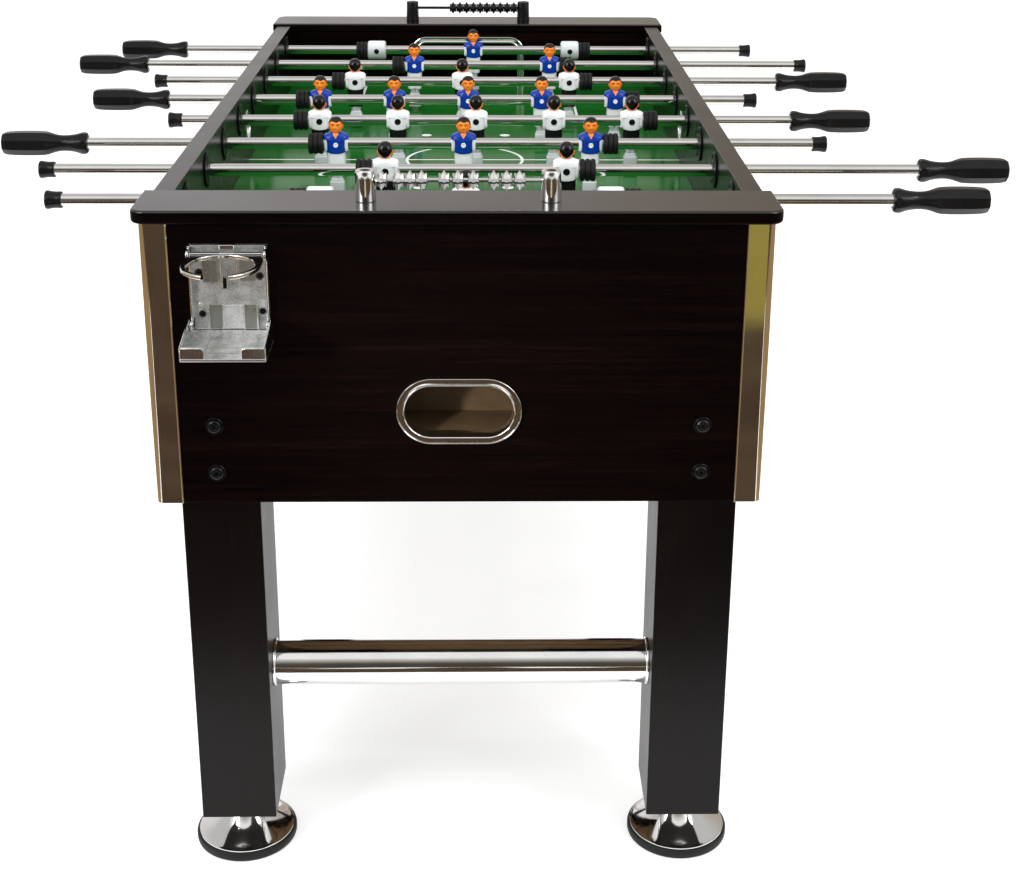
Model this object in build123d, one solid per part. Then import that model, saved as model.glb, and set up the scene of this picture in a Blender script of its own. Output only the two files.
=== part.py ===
from build123d import *
import math
import os

# Foosball table. Millimetres. The origin is on the floor under the middle of the playfield.
# X runs along the rods, Y runs along the playfield from the near goal to the far goal, Z is up.

# Cabinet
TABLE_LENGTH = 1440.0  # over the two end rails
RAIL_WIDTH = 740.0  # length of an end rail
TABLE_HEIGHT = 886.0  # floor to the top of the end rails
CABINET_BOTTOM = 522.0
RAIL_DEPTH = 97.0
RAIL_THICKNESS = 16.0
RAIL_CORNER_RADIUS = 18.0
RAIL_EDGE_BEVEL = 2.5
RAIL_END_OVERHANG = 11.0  # past the end panel's face
RAIL_SIDE_OVERHANG = 9.0  # past the side panel's face
SIDE_PANEL_THICKNESS = 25.0
SIDE_STEP = 4.0  # the side panels' top edges lie this far below the end rails' top
CORNER_BEVEL = 8.0
END_PANEL_THICKNESS = 18.0
GOAL_WALL_THICKNESS = 18.0
GOAL_WALL_HEIGHT = 170.0

# Playfield, its battens and the goals
FIELD_HEIGHT = 772.0
FIELD_THICKNESS = 9.0
BATTEN_WIDTH = 40.0
BATTEN_DEPTH = 60.0
BATTEN_SPACING = 330.0
BATTEN_COUNT = 3
GOAL_WIDTH = 190.0
GOAL_HEIGHT = 78.0
GOAL_CORNER_RADIUS = 16.0
GOAL_FRAME_BORDER = 13.0
GOAL_FRAME_DEPTH = 5.0

# Ball return: a rounded hole in each end panel with a box of fibreboard behind it
RETURN_CENTRE_HEIGHT = 640.0
RETURN_WIDTH = 129.0
RETURN_HEIGHT = 64.0
BEZEL_BORDER = 9.5
BEZEL_COLLAR = 2.5
BEZEL_DEPTH = 4.0
RETURN_BOX_WIDTH = 230.0
RETURN_BOARD = 9.0
RETURN_FLOOR_FALL = 8.0
RETURN_SILL_STEP = 3.0  # the floor's front edge lies this far below the hole

# Serving port through each side panel, halfway along
SERVE_HEIGHT = 825.0
SERVE_RADIUS = 20.0
SERVE_WALL = 2.4
SERVE_FLANGE_RADIUS = 25.0
SERVE_FLANGE = 2.0

# Corner guards
GUARD_COVER = 32.0
GUARD_THICKNESS = 1.5

# Legs, levelling feet, stretchers and bolts
LEG_WIDTH = 95.0
LEG_DEPTH = 110.0
LEG_TOP = 680.0
FOOT_RADIUS = 66.0
FOOT_CONE = [(13.0, 62.5), (20.0, 50.0), (33.0, 32.0), (62.0, 15.0)]  # height above the floor, radius
STUD_RADIUS = 6.0
STUD_LENGTH = 45.0
STRETCHER_HEIGHT = 260.0
STRETCHER_RADIUS = 28.5
STRETCHER_WALL = 2.0
STRETCHER_FLANGE_RADIUS = 34.0
STRETCHER_FLANGE = 5.0
BOLT_RADIUS = 4.0
BOLT_HEAD_RADIUS = 9.0
BOLT_HEAD_TOP_RADIUS = 5.5
BOLT_HEAD_HEIGHT = 5.0
BOLT_BITE = 40.0  # length of bolt inside the leg
BOLT_LOW = 561.0
BOLT_HIGH = 621.0

# Flats round a turned or moulded piece, by how wide it is, and round a bore or shank that never shows
LARGE_FLATS = 20
TUBE_FLATS = 16
SMALL_FLATS = 12
TINY_FLATS = 8
BORE_FLATS = 6

# Playing rods
ROD_HEIGHT = 851.0
ROD_COUNT = 8
ROD_END_DISTANCE = 84.0  # goal wall to the first rod
ROD_DIAMETER = 16.0
ROD_WALL = 2.0
ROD_FIT = 0.04  # radial clearance of everything on a rod
BEARING_FLANGE_BORDER = 16.0  # flange past the rod
BEARING_FLANGE = 4.0
BEARING_WALL = 4.0
BEARING_STANDOUT = 3.0  # sleeve past the cabinet's outer face
SEAT_FIT = 0.1  # clearance of a piece in the hole that it sits in
BUMPER_WALL = 7.0
BUMPER_LENGTH = 21.0
BUMPER_GAP = 0.4
STOP_GAP = 0.5  # bumper to bearing flange at the end of the stroke
HANDLE_SIDES = 8
HANDLE_SOLID_END = 14.0
HANDLE_STATIONS = [  # distance from the collar, wall over the rod
    (0.0, 7.5),
    (9.0, 7.5),
    (24.0, 3.2),
    (40.0, 3.2),
    (56.0, 9.0),
    (114.0, 9.0),
    (119.0, 6.5),
]
HANDLE_STOP_GAP = 54.0  # handle to cabinet at the end of the stroke
CAP_LENGTH = 20.0
CAP_NECK_WALL = 2.4
CAP_END_WALL = 3.6
CAP_SOLID_END = 4.0
CAP_STOP_GAP = 20.0
BLOCK_WALL = 9.0
BLOCK_WIDTH = 33.0

# Men on a rod: pitch between neighbours, by the number of men
MEN_PITCH = {1: 0.0, 2: 239.0, 3: 179.5, 5: 117.0}
BLOCK_OFFSET = 179.0  # goalkeeper to the blocks beside it
MEN_ON_ROD = [1, 2, 3, 5, 5, 3, 2, 1]  # far rod first
HANDLE_SIDE = [-1, -1, 1, -1, 1, -1, 1, 1]  # blue team on the left, white team on the right
REST_SLIDE = [11.0, 27.0, -6.0, 5.0, 18.0, 1.0, 19.0, 7.0]  # where each rod was left standing

# A man's level sections, measured from the rod's axis: height, width, depth
MAN_LEGS = [(-73.0, 21.0, 17.0), (-53.0, 19.0, 16.0), (-49.0, 14.0, 11.0), (-24.0, 25.0, 16.0)]
MAN_SHIRT = [(-24.0, 26.0, 19.8), (4.0, 30.0, 22.5), (14.0, 24.0, 18.5)]
MAN_HEAD = [(14.0, 12.5, 13.0), (26.0, 19.5, 20.0), (38.5, 12.0, 13.0)]
HEAD_CORNER = 3.6
ARM_SPAN = 35.0
ARM_WIDTH = 6.0
ARM_WALL = 1.6  # before and behind the rod
ARM_LOW = -15.0
ARM_HIGH = 10.0

# Score counters on the end rails
POST_OFFSET = 106.5
POST_BASE_RADIUS = 12.0
POST_TOP_RADIUS = 10.5
POST_HEIGHT = 36.0
SPINDLE_HEIGHT = 24.0
SPINDLE_RADIUS = 2.5
BEAD_RADIUS = 12.0
BEAD_ROOT_RADIUS = 8.5
BEAD_WIDTH = 12.6
BEAD_POINTS = 6
BEAD_FIT = 0.08
NEAR_BEADS_LEFT = [-88.0, -68.4, -55.4, -42.0]
NEAR_BEADS_MIDDLE = [-16.3, -0.5, 17.3]
NEAR_BEADS_RIGHT = [40.6, 55.4, 70.3]
FAR_BEAD_COUNT = 10
FAR_BEAD_PITCH = 13.0
FAR_BEAD_LAST = 88.5

# Folding cup holder on the near end panel
CUP_X = -261.0
CUP_BASE_HEIGHT = 743.0
CUP_PLATE_WIDTH = 90.0
CUP_PLATE_HEIGHT = 102.0
CUP_PLATE_THICKNESS = 3.0
CUP_WALL = 3.0
CUP_WALL_DEPTH = 10.0  # front of the side walls from the end panel
CUP_EAR = 14.0  # height of the ears that carry the pivots
CUP_EAR_BEVEL = 4.0
CUP_PIVOT_DEPTH = 15.0  # pivots from the end panel
CUP_PIN_RADIUS = 2.4
CUP_PIN_FIT = 0.06
CUP_GAP = 0.6  # side play of the ring and the tray on the plate
RING_RADIUS = 44.0
RING_FLATS = 28
RING_BAND = 6.0
RING_THICKNESS = 5.0
RING_MOUTH = 28.0
RING_BARREL_RADIUS = 4.0
RING_PIVOT_DROP = 9.0  # below the plate's top edge
RING_SHOULDER = 20.0
TRAY_LENGTH = 62.0
TRAY_SHEET = 2.6
TRAY_DROP = 21.0  # underside of the tray below its pivot
TRAY_LIP = 14.0
TRAY_LIP_NOTCH = 40.0
TRAY_PIVOT_RISE = 9.0  # above the plate's bottom edge
TRAY_BACK = 8.0

# Places that follow from the driving dimensions
RAIL_UNDERSIDE = TABLE_HEIGHT - RAIL_THICKNESS
END_FACE = TABLE_LENGTH / 2 - RAIL_END_OVERHANG
END_INNER = END_FACE - END_PANEL_THICKNESS
GOAL_LINE = TABLE_LENGTH / 2 - RAIL_DEPTH
GOAL_BACK = GOAL_LINE + GOAL_WALL_THICKNESS
GOAL_WALL_BOTTOM = RAIL_UNDERSIDE - GOAL_WALL_HEIGHT
SIDE_FACE = RAIL_WIDTH / 2 - RAIL_SIDE_OVERHANG
SIDE_INNER = SIDE_FACE - SIDE_PANEL_THICKNESS
SIDE_TOP = TABLE_HEIGHT - SIDE_STEP
FIELD_UNDERSIDE = FIELD_HEIGHT - FIELD_THICKNESS
ROD_SPACING = 2 * (GOAL_LINE - ROD_END_DISTANCE) / (ROD_COUNT - 1)
ROD_RADIUS = ROD_DIAMETER / 2
ROD_BORE = ROD_RADIUS + ROD_FIT
BEARING_SLEEVE = ROD_RADIUS + BEARING_WALL
HANDLE_LENGTH = HANDLE_STATIONS[-1][0]
TREAD_HEIGHT = FOOT_CONE[0][0]
FOOT_HEIGHT = FOOT_CONE[-1][0]
LEG_X = SIDE_INNER - LEG_WIDTH / 2
LEG_Y = END_INNER - LEG_DEPTH / 2
SCORER_Y = TABLE_LENGTH / 2 - RAIL_DEPTH / 2
ENDS = (-1, 1)

nodes = {}


def slab(x_ends, y_ends, z_ends):
    """A board between two places on each axis, given in either order."""
    ranges = [sorted(ends) for ends in (x_ends, y_ends, z_ends)]
    middle = Pos(*[(low + high) / 2 for low, high in ranges])
    return middle * Box(*[high - low for low, high in ranges])


def prism(radius, length, flats):
    """A many-sided drum that stands on XY, with its corners at the radius."""
    return extrude(RegularPolygon(radius, flats), length)


def clear_bore(radius, length):
    """A hole whose flats just clear a round of the radius."""
    return extrude(RegularPolygon(radius, BORE_FLATS, major_radius=False), length)


def bar(radius, length):
    """A true round that stands on XY."""
    return extrude(Circle(radius), length)


def ring_corners(radius, flats):
    """The corners of a regular outline, in order."""
    turns = [2 * math.pi * n / flats for n in range(flats)]
    return [(radius * math.cos(turn), radius * math.sin(turn)) for turn in turns]


def block_corners(width, depth, cut=0.0):
    """The corners of a rectangle, each cut off at 45 degrees if a cut is given."""
    quarter = [(width / 2, depth / 2)]
    if cut:
        quarter = [(width / 2, depth / 2 - cut), (width / 2 - cut, depth / 2)]
    half = quarter + [(-x, y) for x, y in quarter[::-1]]
    return half + [(-x, -y) for x, y in half]


def stack(levels):
    """A solid of flat faces through level outlines, each given as height and corners, lowest first."""
    rings = [[(x, y, z) for x, y in corners] for z, corners in levels]
    loops = [rings[0], rings[-1]]
    for low, high in zip(rings, rings[1:]):
        loops += [[low[n - 1], low[n], high[n], high[n - 1]] for n in range(len(low))]
    return Solid(Shell([Face(Wire.make_polygon(loop)) for loop in loops]))


def along_x(solid, x, y, z):
    """A standing solid laid down with its foot at a place, pointing along +X."""
    return Pos(x, y, z) * Rot(0, 90, 0) * solid


def along_y(solid, x, y, z):
    return Pos(x, y, z) * Rot(-90, 0, 0) * solid


def upright(sketch, y_low, y_high, z):
    """A sketch drawn in X and Z, pulled along Y."""
    return Pos(0, y_high, z) * Rot(90, 0, 0) * extrude(sketch, y_high - y_low)


def lengthwise(outline, x_low, x_high):
    """A closed outline drawn in Y and Z, pulled along X."""
    return Pos(x_low, 0, 0) * extrude(Plane.YZ * make_face(Polyline(*outline, close=True)), x_high - x_low)


def both_ends(near):
    """A piece at the near end and its mirror image at the far end."""
    return [near, mirror(near, Plane.XZ)]


def both_sides(left):
    return [left, mirror(left, Plane.YZ)]


def four_corners(near_left):
    return [piece for side in both_sides(near_left) for piece in both_ends(side)]


def rod_y(index):
    """Rod 0 stands before the far goal."""
    return ((ROD_COUNT - 1) / 2 - index) * ROD_SPACING


# Side panels: laminated boards, stepped down under the end rails, drilled for bearings and ports
def side_panel():
    panel = slab((-SIDE_FACE, -SIDE_INNER), (-END_FACE, END_FACE), (CABINET_BOTTOM, SIDE_TOP))
    corners = panel.edges().filter_by(Axis.Z).group_by(Axis.X)[0]
    panel = chamfer(corners, CORNER_BEVEL)
    for end in ENDS:
        under_rail = (end * GOAL_LINE, end * END_FACE)
        panel -= slab((-SIDE_FACE, -SIDE_INNER), under_rail, (RAIL_UNDERSIDE, SIDE_TOP))
    seat = prism(BEARING_SLEEVE + SEAT_FIT, SIDE_PANEL_THICKNESS, BORE_FLATS)
    for index in range(ROD_COUNT):
        panel -= along_x(seat, -SIDE_FACE, rod_y(index), ROD_HEIGHT)
    port = prism(SERVE_RADIUS + SERVE_WALL + SEAT_FIT, SIDE_PANEL_THICKNESS, SMALL_FLATS)
    return panel - along_x(port, -SIDE_FACE, 0, SERVE_HEIGHT)


nodes["side_panels"] = both_sides(side_panel())


# End panels: the boards between the side panels, with the ball return hole and the bolt holes
def return_hole(border):
    radius = RETURN_HEIGHT / 2 + border
    reach = (RETURN_WIDTH - RETURN_HEIGHT) / 2
    turn = RegularPolygon(radius, LARGE_FLATS)
    return make_hull((Pos(-reach, 0) * turn).edges() + (Pos(reach, 0) * turn).edges())


BOLT_PLACES = [(side * LEG_X, height) for side in ENDS for height in (BOLT_LOW, BOLT_HIGH)]


def end_panel():
    panel = slab((-SIDE_INNER, SIDE_INNER), (-END_FACE, -END_INNER), (CABINET_BOTTOM, RAIL_UNDERSIDE))
    hole = return_hole(BEZEL_COLLAR + SEAT_FIT)
    panel -= upright(hole, -END_FACE, -END_INNER, RETURN_CENTRE_HEIGHT)
    bolt_hole = prism(BOLT_RADIUS + SEAT_FIT, END_PANEL_THICKNESS, BORE_FLATS)
    for x, height in BOLT_PLACES:
        panel -= along_y(bolt_hole, x, -END_FACE, height)
    return panel


nodes["end_panels"] = both_ends(end_panel())


# Goal walls: the inner end boards, with a goal mouth that is rounded at its top corners
def goal_mouth(border):
    height = GOAL_HEIGHT + border
    mouth = Pos(0, height / 2) * Rectangle(GOAL_WIDTH + 2 * border, height)
    return fillet(mouth.vertices().group_by(Axis.Y)[-1], GOAL_CORNER_RADIUS + border)


def goal_wall():
    wall = slab((-SIDE_INNER, SIDE_INNER), (-GOAL_BACK, -GOAL_LINE), (GOAL_WALL_BOTTOM, RAIL_UNDERSIDE))
    return wall - upright(goal_mouth(0), -GOAL_BACK, -GOAL_LINE, FIELD_HEIGHT)


nodes["goal_walls"] = both_ends(goal_wall())


# Goal frames: chrome surrounds on the goal walls, standing on the playfield
surround = goal_mouth(GOAL_FRAME_BORDER) - goal_mouth(0)
goal_frame = upright(surround, -GOAL_LINE, -GOAL_LINE + GOAL_FRAME_DEPTH, FIELD_HEIGHT)
nodes["goal_frames"] = both_ends(goal_frame)


# End rails: thick boards that cap the ends and hang over the panels, rounded at the outer corners
def end_rail():
    half = RAIL_WIDTH / 2
    rail = slab((-half, half), (-TABLE_LENGTH / 2, -GOAL_LINE), (RAIL_UNDERSIDE, TABLE_HEIGHT))
    rail = fillet(rail.edges().filter_by(Axis.Z).group_by(Axis.Y)[0], RAIL_CORNER_RADIUS)
    rim = rail.faces().sort_by(Axis.Z)[-1].edges().sort_by(Axis.Y)
    return chamfer(rim[:-1], RAIL_EDGE_BEVEL)


nodes["end_rails"] = both_ends(end_rail())


# Playfield board and the battens that carry it from side to side
FIELD_SPAN = (-SIDE_INNER, SIDE_INNER)
nodes["playfield"] = [slab(FIELD_SPAN, (-GOAL_LINE, GOAL_LINE), (FIELD_UNDERSIDE, FIELD_HEIGHT))]
batten = slab(
    FIELD_SPAN, (-BATTEN_WIDTH / 2, BATTEN_WIDTH / 2), (FIELD_UNDERSIDE - BATTEN_DEPTH, FIELD_UNDERSIDE)
)
batten_places = [(n - (BATTEN_COUNT - 1) / 2) * BATTEN_SPACING for n in range(BATTEN_COUNT)]
nodes["playfield_battens"] = [Pos(0, y, 0) * batten for y in batten_places]


# Ball return boxes: a sloping floor, two cheeks and a back board under each goal wall
def return_box():
    half = RETURN_BOX_WIDTH / 2
    sill = RETURN_CENTRE_HEIGHT - RETURN_HEIGHT / 2 - RETURN_SILL_STEP
    low = sill - RETURN_BOARD
    box = slab((-half, half), (-GOAL_BACK, -GOAL_BACK + RETURN_BOARD), (low, GOAL_WALL_BOTTOM))
    slope = [
        (-END_INNER, low),
        (-GOAL_BACK, low),
        (-GOAL_BACK, sill + RETURN_FLOOR_FALL),
        (-END_INNER, sill),
    ]
    box += lengthwise(slope, -half, half)
    for side in ENDS:
        cheek = (side * (half - RETURN_BOARD), side * half)
        box += slab(cheek, (-END_INNER, -GOAL_BACK), (low, GOAL_WALL_BOTTOM))
    return box


nodes["ball_return_boxes"] = both_ends(return_box())


# Ball return bezels: a flat chrome rim with a collar that lines the hole
def return_bezel():
    rim = return_hole(BEZEL_BORDER) - return_hole(0)
    collar = return_hole(BEZEL_COLLAR) - return_hole(0)
    bezel = upright(rim, -END_FACE - BEZEL_DEPTH, -END_FACE, RETURN_CENTRE_HEIGHT)
    return bezel + upright(collar, -END_FACE, -END_INNER, RETURN_CENTRE_HEIGHT)


nodes["ball_return_bezels"] = both_ends(return_bezel())


# Serving ports: chrome eyelets through the side panels, rolled over at both faces
def serve_ring():
    through = SIDE_PANEL_THICKNESS + 2 * SERVE_FLANGE
    outer = -SIDE_FACE - SERVE_FLANGE
    flange = prism(SERVE_FLANGE_RADIUS, SERVE_FLANGE, SMALL_FLATS)
    ring = along_x(prism(SERVE_RADIUS + SERVE_WALL, through, SMALL_FLATS), outer, 0, SERVE_HEIGHT)
    ring += along_x(flange, outer, 0, SERVE_HEIGHT)
    ring += along_x(flange, -SIDE_INNER, 0, SERVE_HEIGHT)
    return ring - along_x(prism(SERVE_RADIUS, through, SMALL_FLATS), outer, 0, SERVE_HEIGHT)


nodes["serve_rings"] = both_sides(serve_ring())


# Corner guards: chrome angles bent round the bevelled corners of the cabinet
def corner_line(proud):
    """The guard's line round the near left corner, this far outside the boards."""
    turn = proud * math.tan(math.pi / 8)
    x_face = -SIDE_FACE - proud
    y_face = -END_FACE - proud
    return [
        (-SIDE_FACE + GUARD_COVER, y_face),
        (-SIDE_FACE + CORNER_BEVEL - turn, y_face),
        (x_face, -END_FACE + CORNER_BEVEL - turn),
        (x_face, -END_FACE + GUARD_COVER),
    ]


guard_outline = corner_line(GUARD_THICKNESS) + corner_line(0)[::-1]
guard_section = make_face(Polyline(*guard_outline, close=True))
corner_guard = Pos(0, 0, CABINET_BOTTOM) * extrude(guard_section, RAIL_UNDERSIDE - CABINET_BOTTOM)
nodes["corner_guards"] = four_corners(corner_guard)


# Legs: square posts inside the cabinet's corners, drilled for the bolts and the foot's stud
def leg():
    inner_face = (-SIDE_INNER, -SIDE_INNER + LEG_WIDTH)
    post = slab(inner_face, (-END_INNER, -END_INNER + LEG_DEPTH), (FOOT_HEIGHT, LEG_TOP))
    bolt_hole = prism(BOLT_RADIUS + SEAT_FIT, BOLT_BITE + SEAT_FIT, BORE_FLATS)
    for height in (BOLT_LOW, BOLT_HIGH):
        post -= along_y(bolt_hole, -LEG_X, -END_INNER, height)
    stud_hole = prism(STUD_RADIUS + SEAT_FIT, STUD_LENGTH + SEAT_FIT, BORE_FLATS)
    return post - Pos(-LEG_X, -LEG_Y, FOOT_HEIGHT) * stud_hole


nodes["legs"] = four_corners(leg())


# Leg bolts: button heads on the end panels, two into each leg
def leg_bolt():
    head_radii = [(0, BOLT_HEAD_TOP_RADIUS), (BOLT_HEAD_HEIGHT, BOLT_HEAD_RADIUS)]
    head = stack([(z, ring_corners(radius, TINY_FLATS)) for z, radius in head_radii])
    shank = prism(BOLT_RADIUS, END_PANEL_THICKNESS + BOLT_BITE, BORE_FLATS)
    return head + Pos(0, 0, BOLT_HEAD_HEIGHT) * shank


near_bolts = [along_y(leg_bolt(), x, -END_FACE - BOLT_HEAD_HEIGHT, height) for x, height in BOLT_PLACES]
nodes["leg_bolts"] = near_bolts + [mirror(bolt, Plane.XZ) for bolt in near_bolts]


# Leg stretchers: chrome tubes with a flange against each leg
def leg_stretcher():
    span = 2 * (SIDE_INNER - LEG_WIDTH)
    flange = prism(STRETCHER_FLANGE_RADIUS, STRETCHER_FLANGE, TUBE_FLATS)
    tube = prism(STRETCHER_RADIUS, span, TUBE_FLATS) + flange
    tube += Pos(0, 0, span - STRETCHER_FLANGE) * flange
    tube -= prism(STRETCHER_RADIUS - STRETCHER_WALL, span, TUBE_FLATS)
    return along_x(tube, -span / 2, -LEG_Y, STRETCHER_HEIGHT)


nodes["leg_stretchers"] = both_ends(leg_stretcher())


# Levelling feet: a rubber tread under a flared chrome cone, on a stud that screws into the leg
def levelling_foot():
    tread = prism(FOOT_RADIUS, TREAD_HEIGHT, LARGE_FLATS)
    cone = stack([(z, ring_corners(radius, LARGE_FLATS)) for z, radius in FOOT_CONE])
    return tread + cone + Pos(0, 0, FOOT_HEIGHT) * prism(STUD_RADIUS, STUD_LENGTH, BORE_FLATS)


for end_name, end in (("near", -1), ("far", 1)):
    for side_name, side in (("left", -1), ("right", 1)):
        nodes[f"foot_{end_name}_{side_name}"] = [Pos(side * LEG_X, end * LEG_Y, 0) * levelling_foot()]


# Rod bearings: flanged bushes pressed through the side panels
def rod_bearing():
    through = BEARING_STANDOUT + SIDE_PANEL_THICKNESS
    bush = prism(BEARING_SLEEVE, through, BORE_FLATS)
    bush += Pos(0, 0, through) * prism(ROD_RADIUS + BEARING_FLANGE_BORDER, BEARING_FLANGE, SMALL_FLATS)
    return bush - clear_bore(ROD_BORE, through + BEARING_FLANGE)


bearing_outer = -SIDE_FACE - BEARING_STANDOUT
bearing = rod_bearing()
left_bearings = [along_x(bearing, bearing_outer, rod_y(index), ROD_HEIGHT) for index in range(ROD_COUNT)]
nodes["rod_bearings"] = left_bearings + [mirror(bush, Plane.YZ) for bush in left_bearings]


# Men: moulded figures threaded on the rod, stacked from the sole to the crown
def man():
    legs = stack([(z, block_corners(width, depth)) for z, width, depth in MAN_LEGS])
    shirt = stack([(z, block_corners(width, depth)) for z, width, depth in MAN_SHIRT])
    head = stack([(z, block_corners(width, depth, HEAD_CORNER)) for z, width, depth in MAN_HEAD])
    figure = legs + shirt + head
    arm_depth = ROD_RADIUS + ARM_WALL
    for side in ENDS:
        arm = (side * (ARM_SPAN / 2 - ARM_WIDTH), side * ARM_SPAN / 2)
        figure += slab(arm, (-arm_depth, arm_depth), (ARM_LOW, ARM_HIGH))
    return figure - along_x(clear_bore(ROD_BORE, ARM_SPAN), -ARM_SPAN / 2, 0, 0)


def goal_block():
    """A plain barrel that guards the goal beside the goalkeeper."""
    barrel = prism(ROD_RADIUS + BLOCK_WALL, BLOCK_WIDTH, SMALL_FLATS) - clear_bore(ROD_BORE, BLOCK_WIDTH)
    return along_x(barrel, -BLOCK_WIDTH / 2, 0, 0)


# Handles: eight-sided grips, waisted, with a flared collar at the cabinet's side
def handle():
    grip = stack([(t, ring_corners(ROD_RADIUS + wall, HANDLE_SIDES)) for t, wall in HANDLE_STATIONS])
    return grip - clear_bore(ROD_BORE, HANDLE_LENGTH - HANDLE_SOLID_END)


# End caps: short flared caps on the rods' plain ends
def end_cap():
    walls = [(0, CAP_NECK_WALL), (CAP_LENGTH, CAP_END_WALL)]
    cap = stack([(t, ring_corners(ROD_RADIUS + wall, TINY_FLATS)) for t, wall in walls])
    return cap - clear_bore(ROD_BORE, CAP_LENGTH - CAP_SOLID_END)


# Bumpers: rubber sleeves on each rod outside the last men
bumper_sleeve = prism(ROD_RADIUS + BUMPER_WALL, BUMPER_LENGTH, TINY_FLATS)
bumper_sleeve -= clear_bore(ROD_BORE, BUMPER_LENGTH)


def rod_pieces(men, handle_side):
    """A rod with its men centred on the origin: its stroke each way and the solids of its four nodes."""
    men_places = [(n - (men - 1) / 2) * MEN_PITCH[men] for n in range(men)]
    block_places = [-BLOCK_OFFSET, BLOCK_OFFSET] if men == 1 else []
    widest = BLOCK_OFFSET + BLOCK_WIDTH / 2 if men == 1 else men_places[-1] + ARM_SPAN / 2
    bumper_inner = widest + BUMPER_GAP
    stroke = SIDE_INNER - BEARING_FLANGE - STOP_GAP - bumper_inner - BUMPER_LENGTH
    handle_inner = SIDE_FACE + stroke + HANDLE_STOP_GAP
    cap_inner = SIDE_FACE + stroke + CAP_STOP_GAP
    handle_reach = handle_inner + HANDLE_LENGTH - HANDLE_SOLID_END
    cap_reach = cap_inner + CAP_LENGTH - CAP_SOLID_END
    length = handle_reach + cap_reach
    tube = bar(ROD_RADIUS, length) - prism(ROD_RADIUS - ROD_WALL, length, BORE_FLATS)
    tube_start = -cap_reach if handle_side > 0 else -handle_reach
    figure = Rot(0, 0, 180) * man() if handle_side > 0 else man()
    men_solids = [Pos(x, 0, 0) * figure for x in men_places]
    men_solids += [Pos(x, 0, 0) * goal_block() for x in block_places]
    grips = [
        Pos(handle_side * handle_inner, 0, 0) * Rot(0, 90 * handle_side, 0) * handle(),
        Pos(-handle_side * cap_inner, 0, 0) * Rot(0, -90 * handle_side, 0) * end_cap(),
    ]
    solids = {
        "tube": [along_x(tube, tube_start, 0, 0)],
        "men": men_solids,
        "grips": grips,
        "bumpers": both_sides(along_x(bumper_sleeve, bumper_inner, 0, 0)),
    }
    return stroke, solids


for index in range(ROD_COUNT):
    stroke, rod_solids = rod_pieces(MEN_ON_ROD[index], HANDLE_SIDE[index])
    rest = REST_SLIDE[index]
    place = Pos(rest, rod_y(index), ROD_HEIGHT)
    for kind, solids in rod_solids.items():
        nodes[f"rod{index + 1}_{kind}"] = [place * solid for solid in solids]
    print(f"rod{index + 1} at y {rod_y(index):.2f} slides {-stroke - rest:.2f} to {stroke - rest:.2f}")


# Score counters: two posts and a spindle on each end rail, with star beads that slide along it
def scorer_frame():
    post_radii = [(0, POST_BASE_RADIUS), (POST_HEIGHT, POST_TOP_RADIUS)]
    post = stack([(z, ring_corners(radius, TUBE_FLATS)) for z, radius in post_radii])
    spindle = prism(SPINDLE_RADIUS, 2 * POST_OFFSET, BORE_FLATS)
    frame = along_x(spindle, -POST_OFFSET, 0, SPINDLE_HEIGHT)
    for side in ENDS:
        frame += Pos(side * POST_OFFSET, 0, 0) * post
    return frame


def star_bead():
    half_step = math.pi / BEAD_POINTS
    radii = [BEAD_RADIUS, BEAD_ROOT_RADIUS] * BEAD_POINTS
    outline = [(r * math.cos(n * half_step), r * math.sin(n * half_step)) for n, r in enumerate(radii)]
    star = extrude(make_face(Polyline(*outline, close=True)), BEAD_WIDTH)
    return along_x(star - clear_bore(SPINDLE_RADIUS + BEAD_FIT, BEAD_WIDTH), -BEAD_WIDTH / 2, 0, 0)


def beads(places, y):
    return [Pos(x, y, TABLE_HEIGHT + SPINDLE_HEIGHT) * star_bead() for x in places]


nodes["near_scorer_frame"] = [Pos(0, -SCORER_Y, TABLE_HEIGHT) * scorer_frame()]
nodes["far_scorer_frame"] = [Pos(0, SCORER_Y, TABLE_HEIGHT) * scorer_frame()]
nodes["near_beads_left"] = beads(NEAR_BEADS_LEFT, -SCORER_Y)
nodes["near_beads_middle"] = beads(NEAR_BEADS_MIDDLE, -SCORER_Y)
nodes["near_beads_right"] = beads(NEAR_BEADS_RIGHT, -SCORER_Y)
nodes["far_beads"] = beads([FAR_BEAD_LAST - n * FAR_BEAD_PITCH for n in range(FAR_BEAD_COUNT)], SCORER_Y)


# Folding cup holder: a cast plate with ears, a ring that folds down and a tray that folds up over it
PIVOT_Y = -END_FACE - CUP_PIVOT_DEPTH
RING_PIVOT_Z = CUP_BASE_HEIGHT + CUP_PLATE_HEIGHT - RING_PIVOT_DROP
TRAY_PIVOT_Z = CUP_BASE_HEIGHT + TRAY_PIVOT_RISE


def ear_outline(pivot_z):
    """An ear's outline from the end panel round the front of its pivot."""
    half = CUP_EAR / 2
    front = PIVOT_Y - half
    return [
        (-END_FACE, pivot_z - half),
        (front + CUP_EAR_BEVEL, pivot_z - half),
        (front, pivot_z - half + CUP_EAR_BEVEL),
        (front, pivot_z + half - CUP_EAR_BEVEL),
        (front + CUP_EAR_BEVEL, pivot_z + half),
        (-END_FACE, pivot_z + half),
    ]


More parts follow.
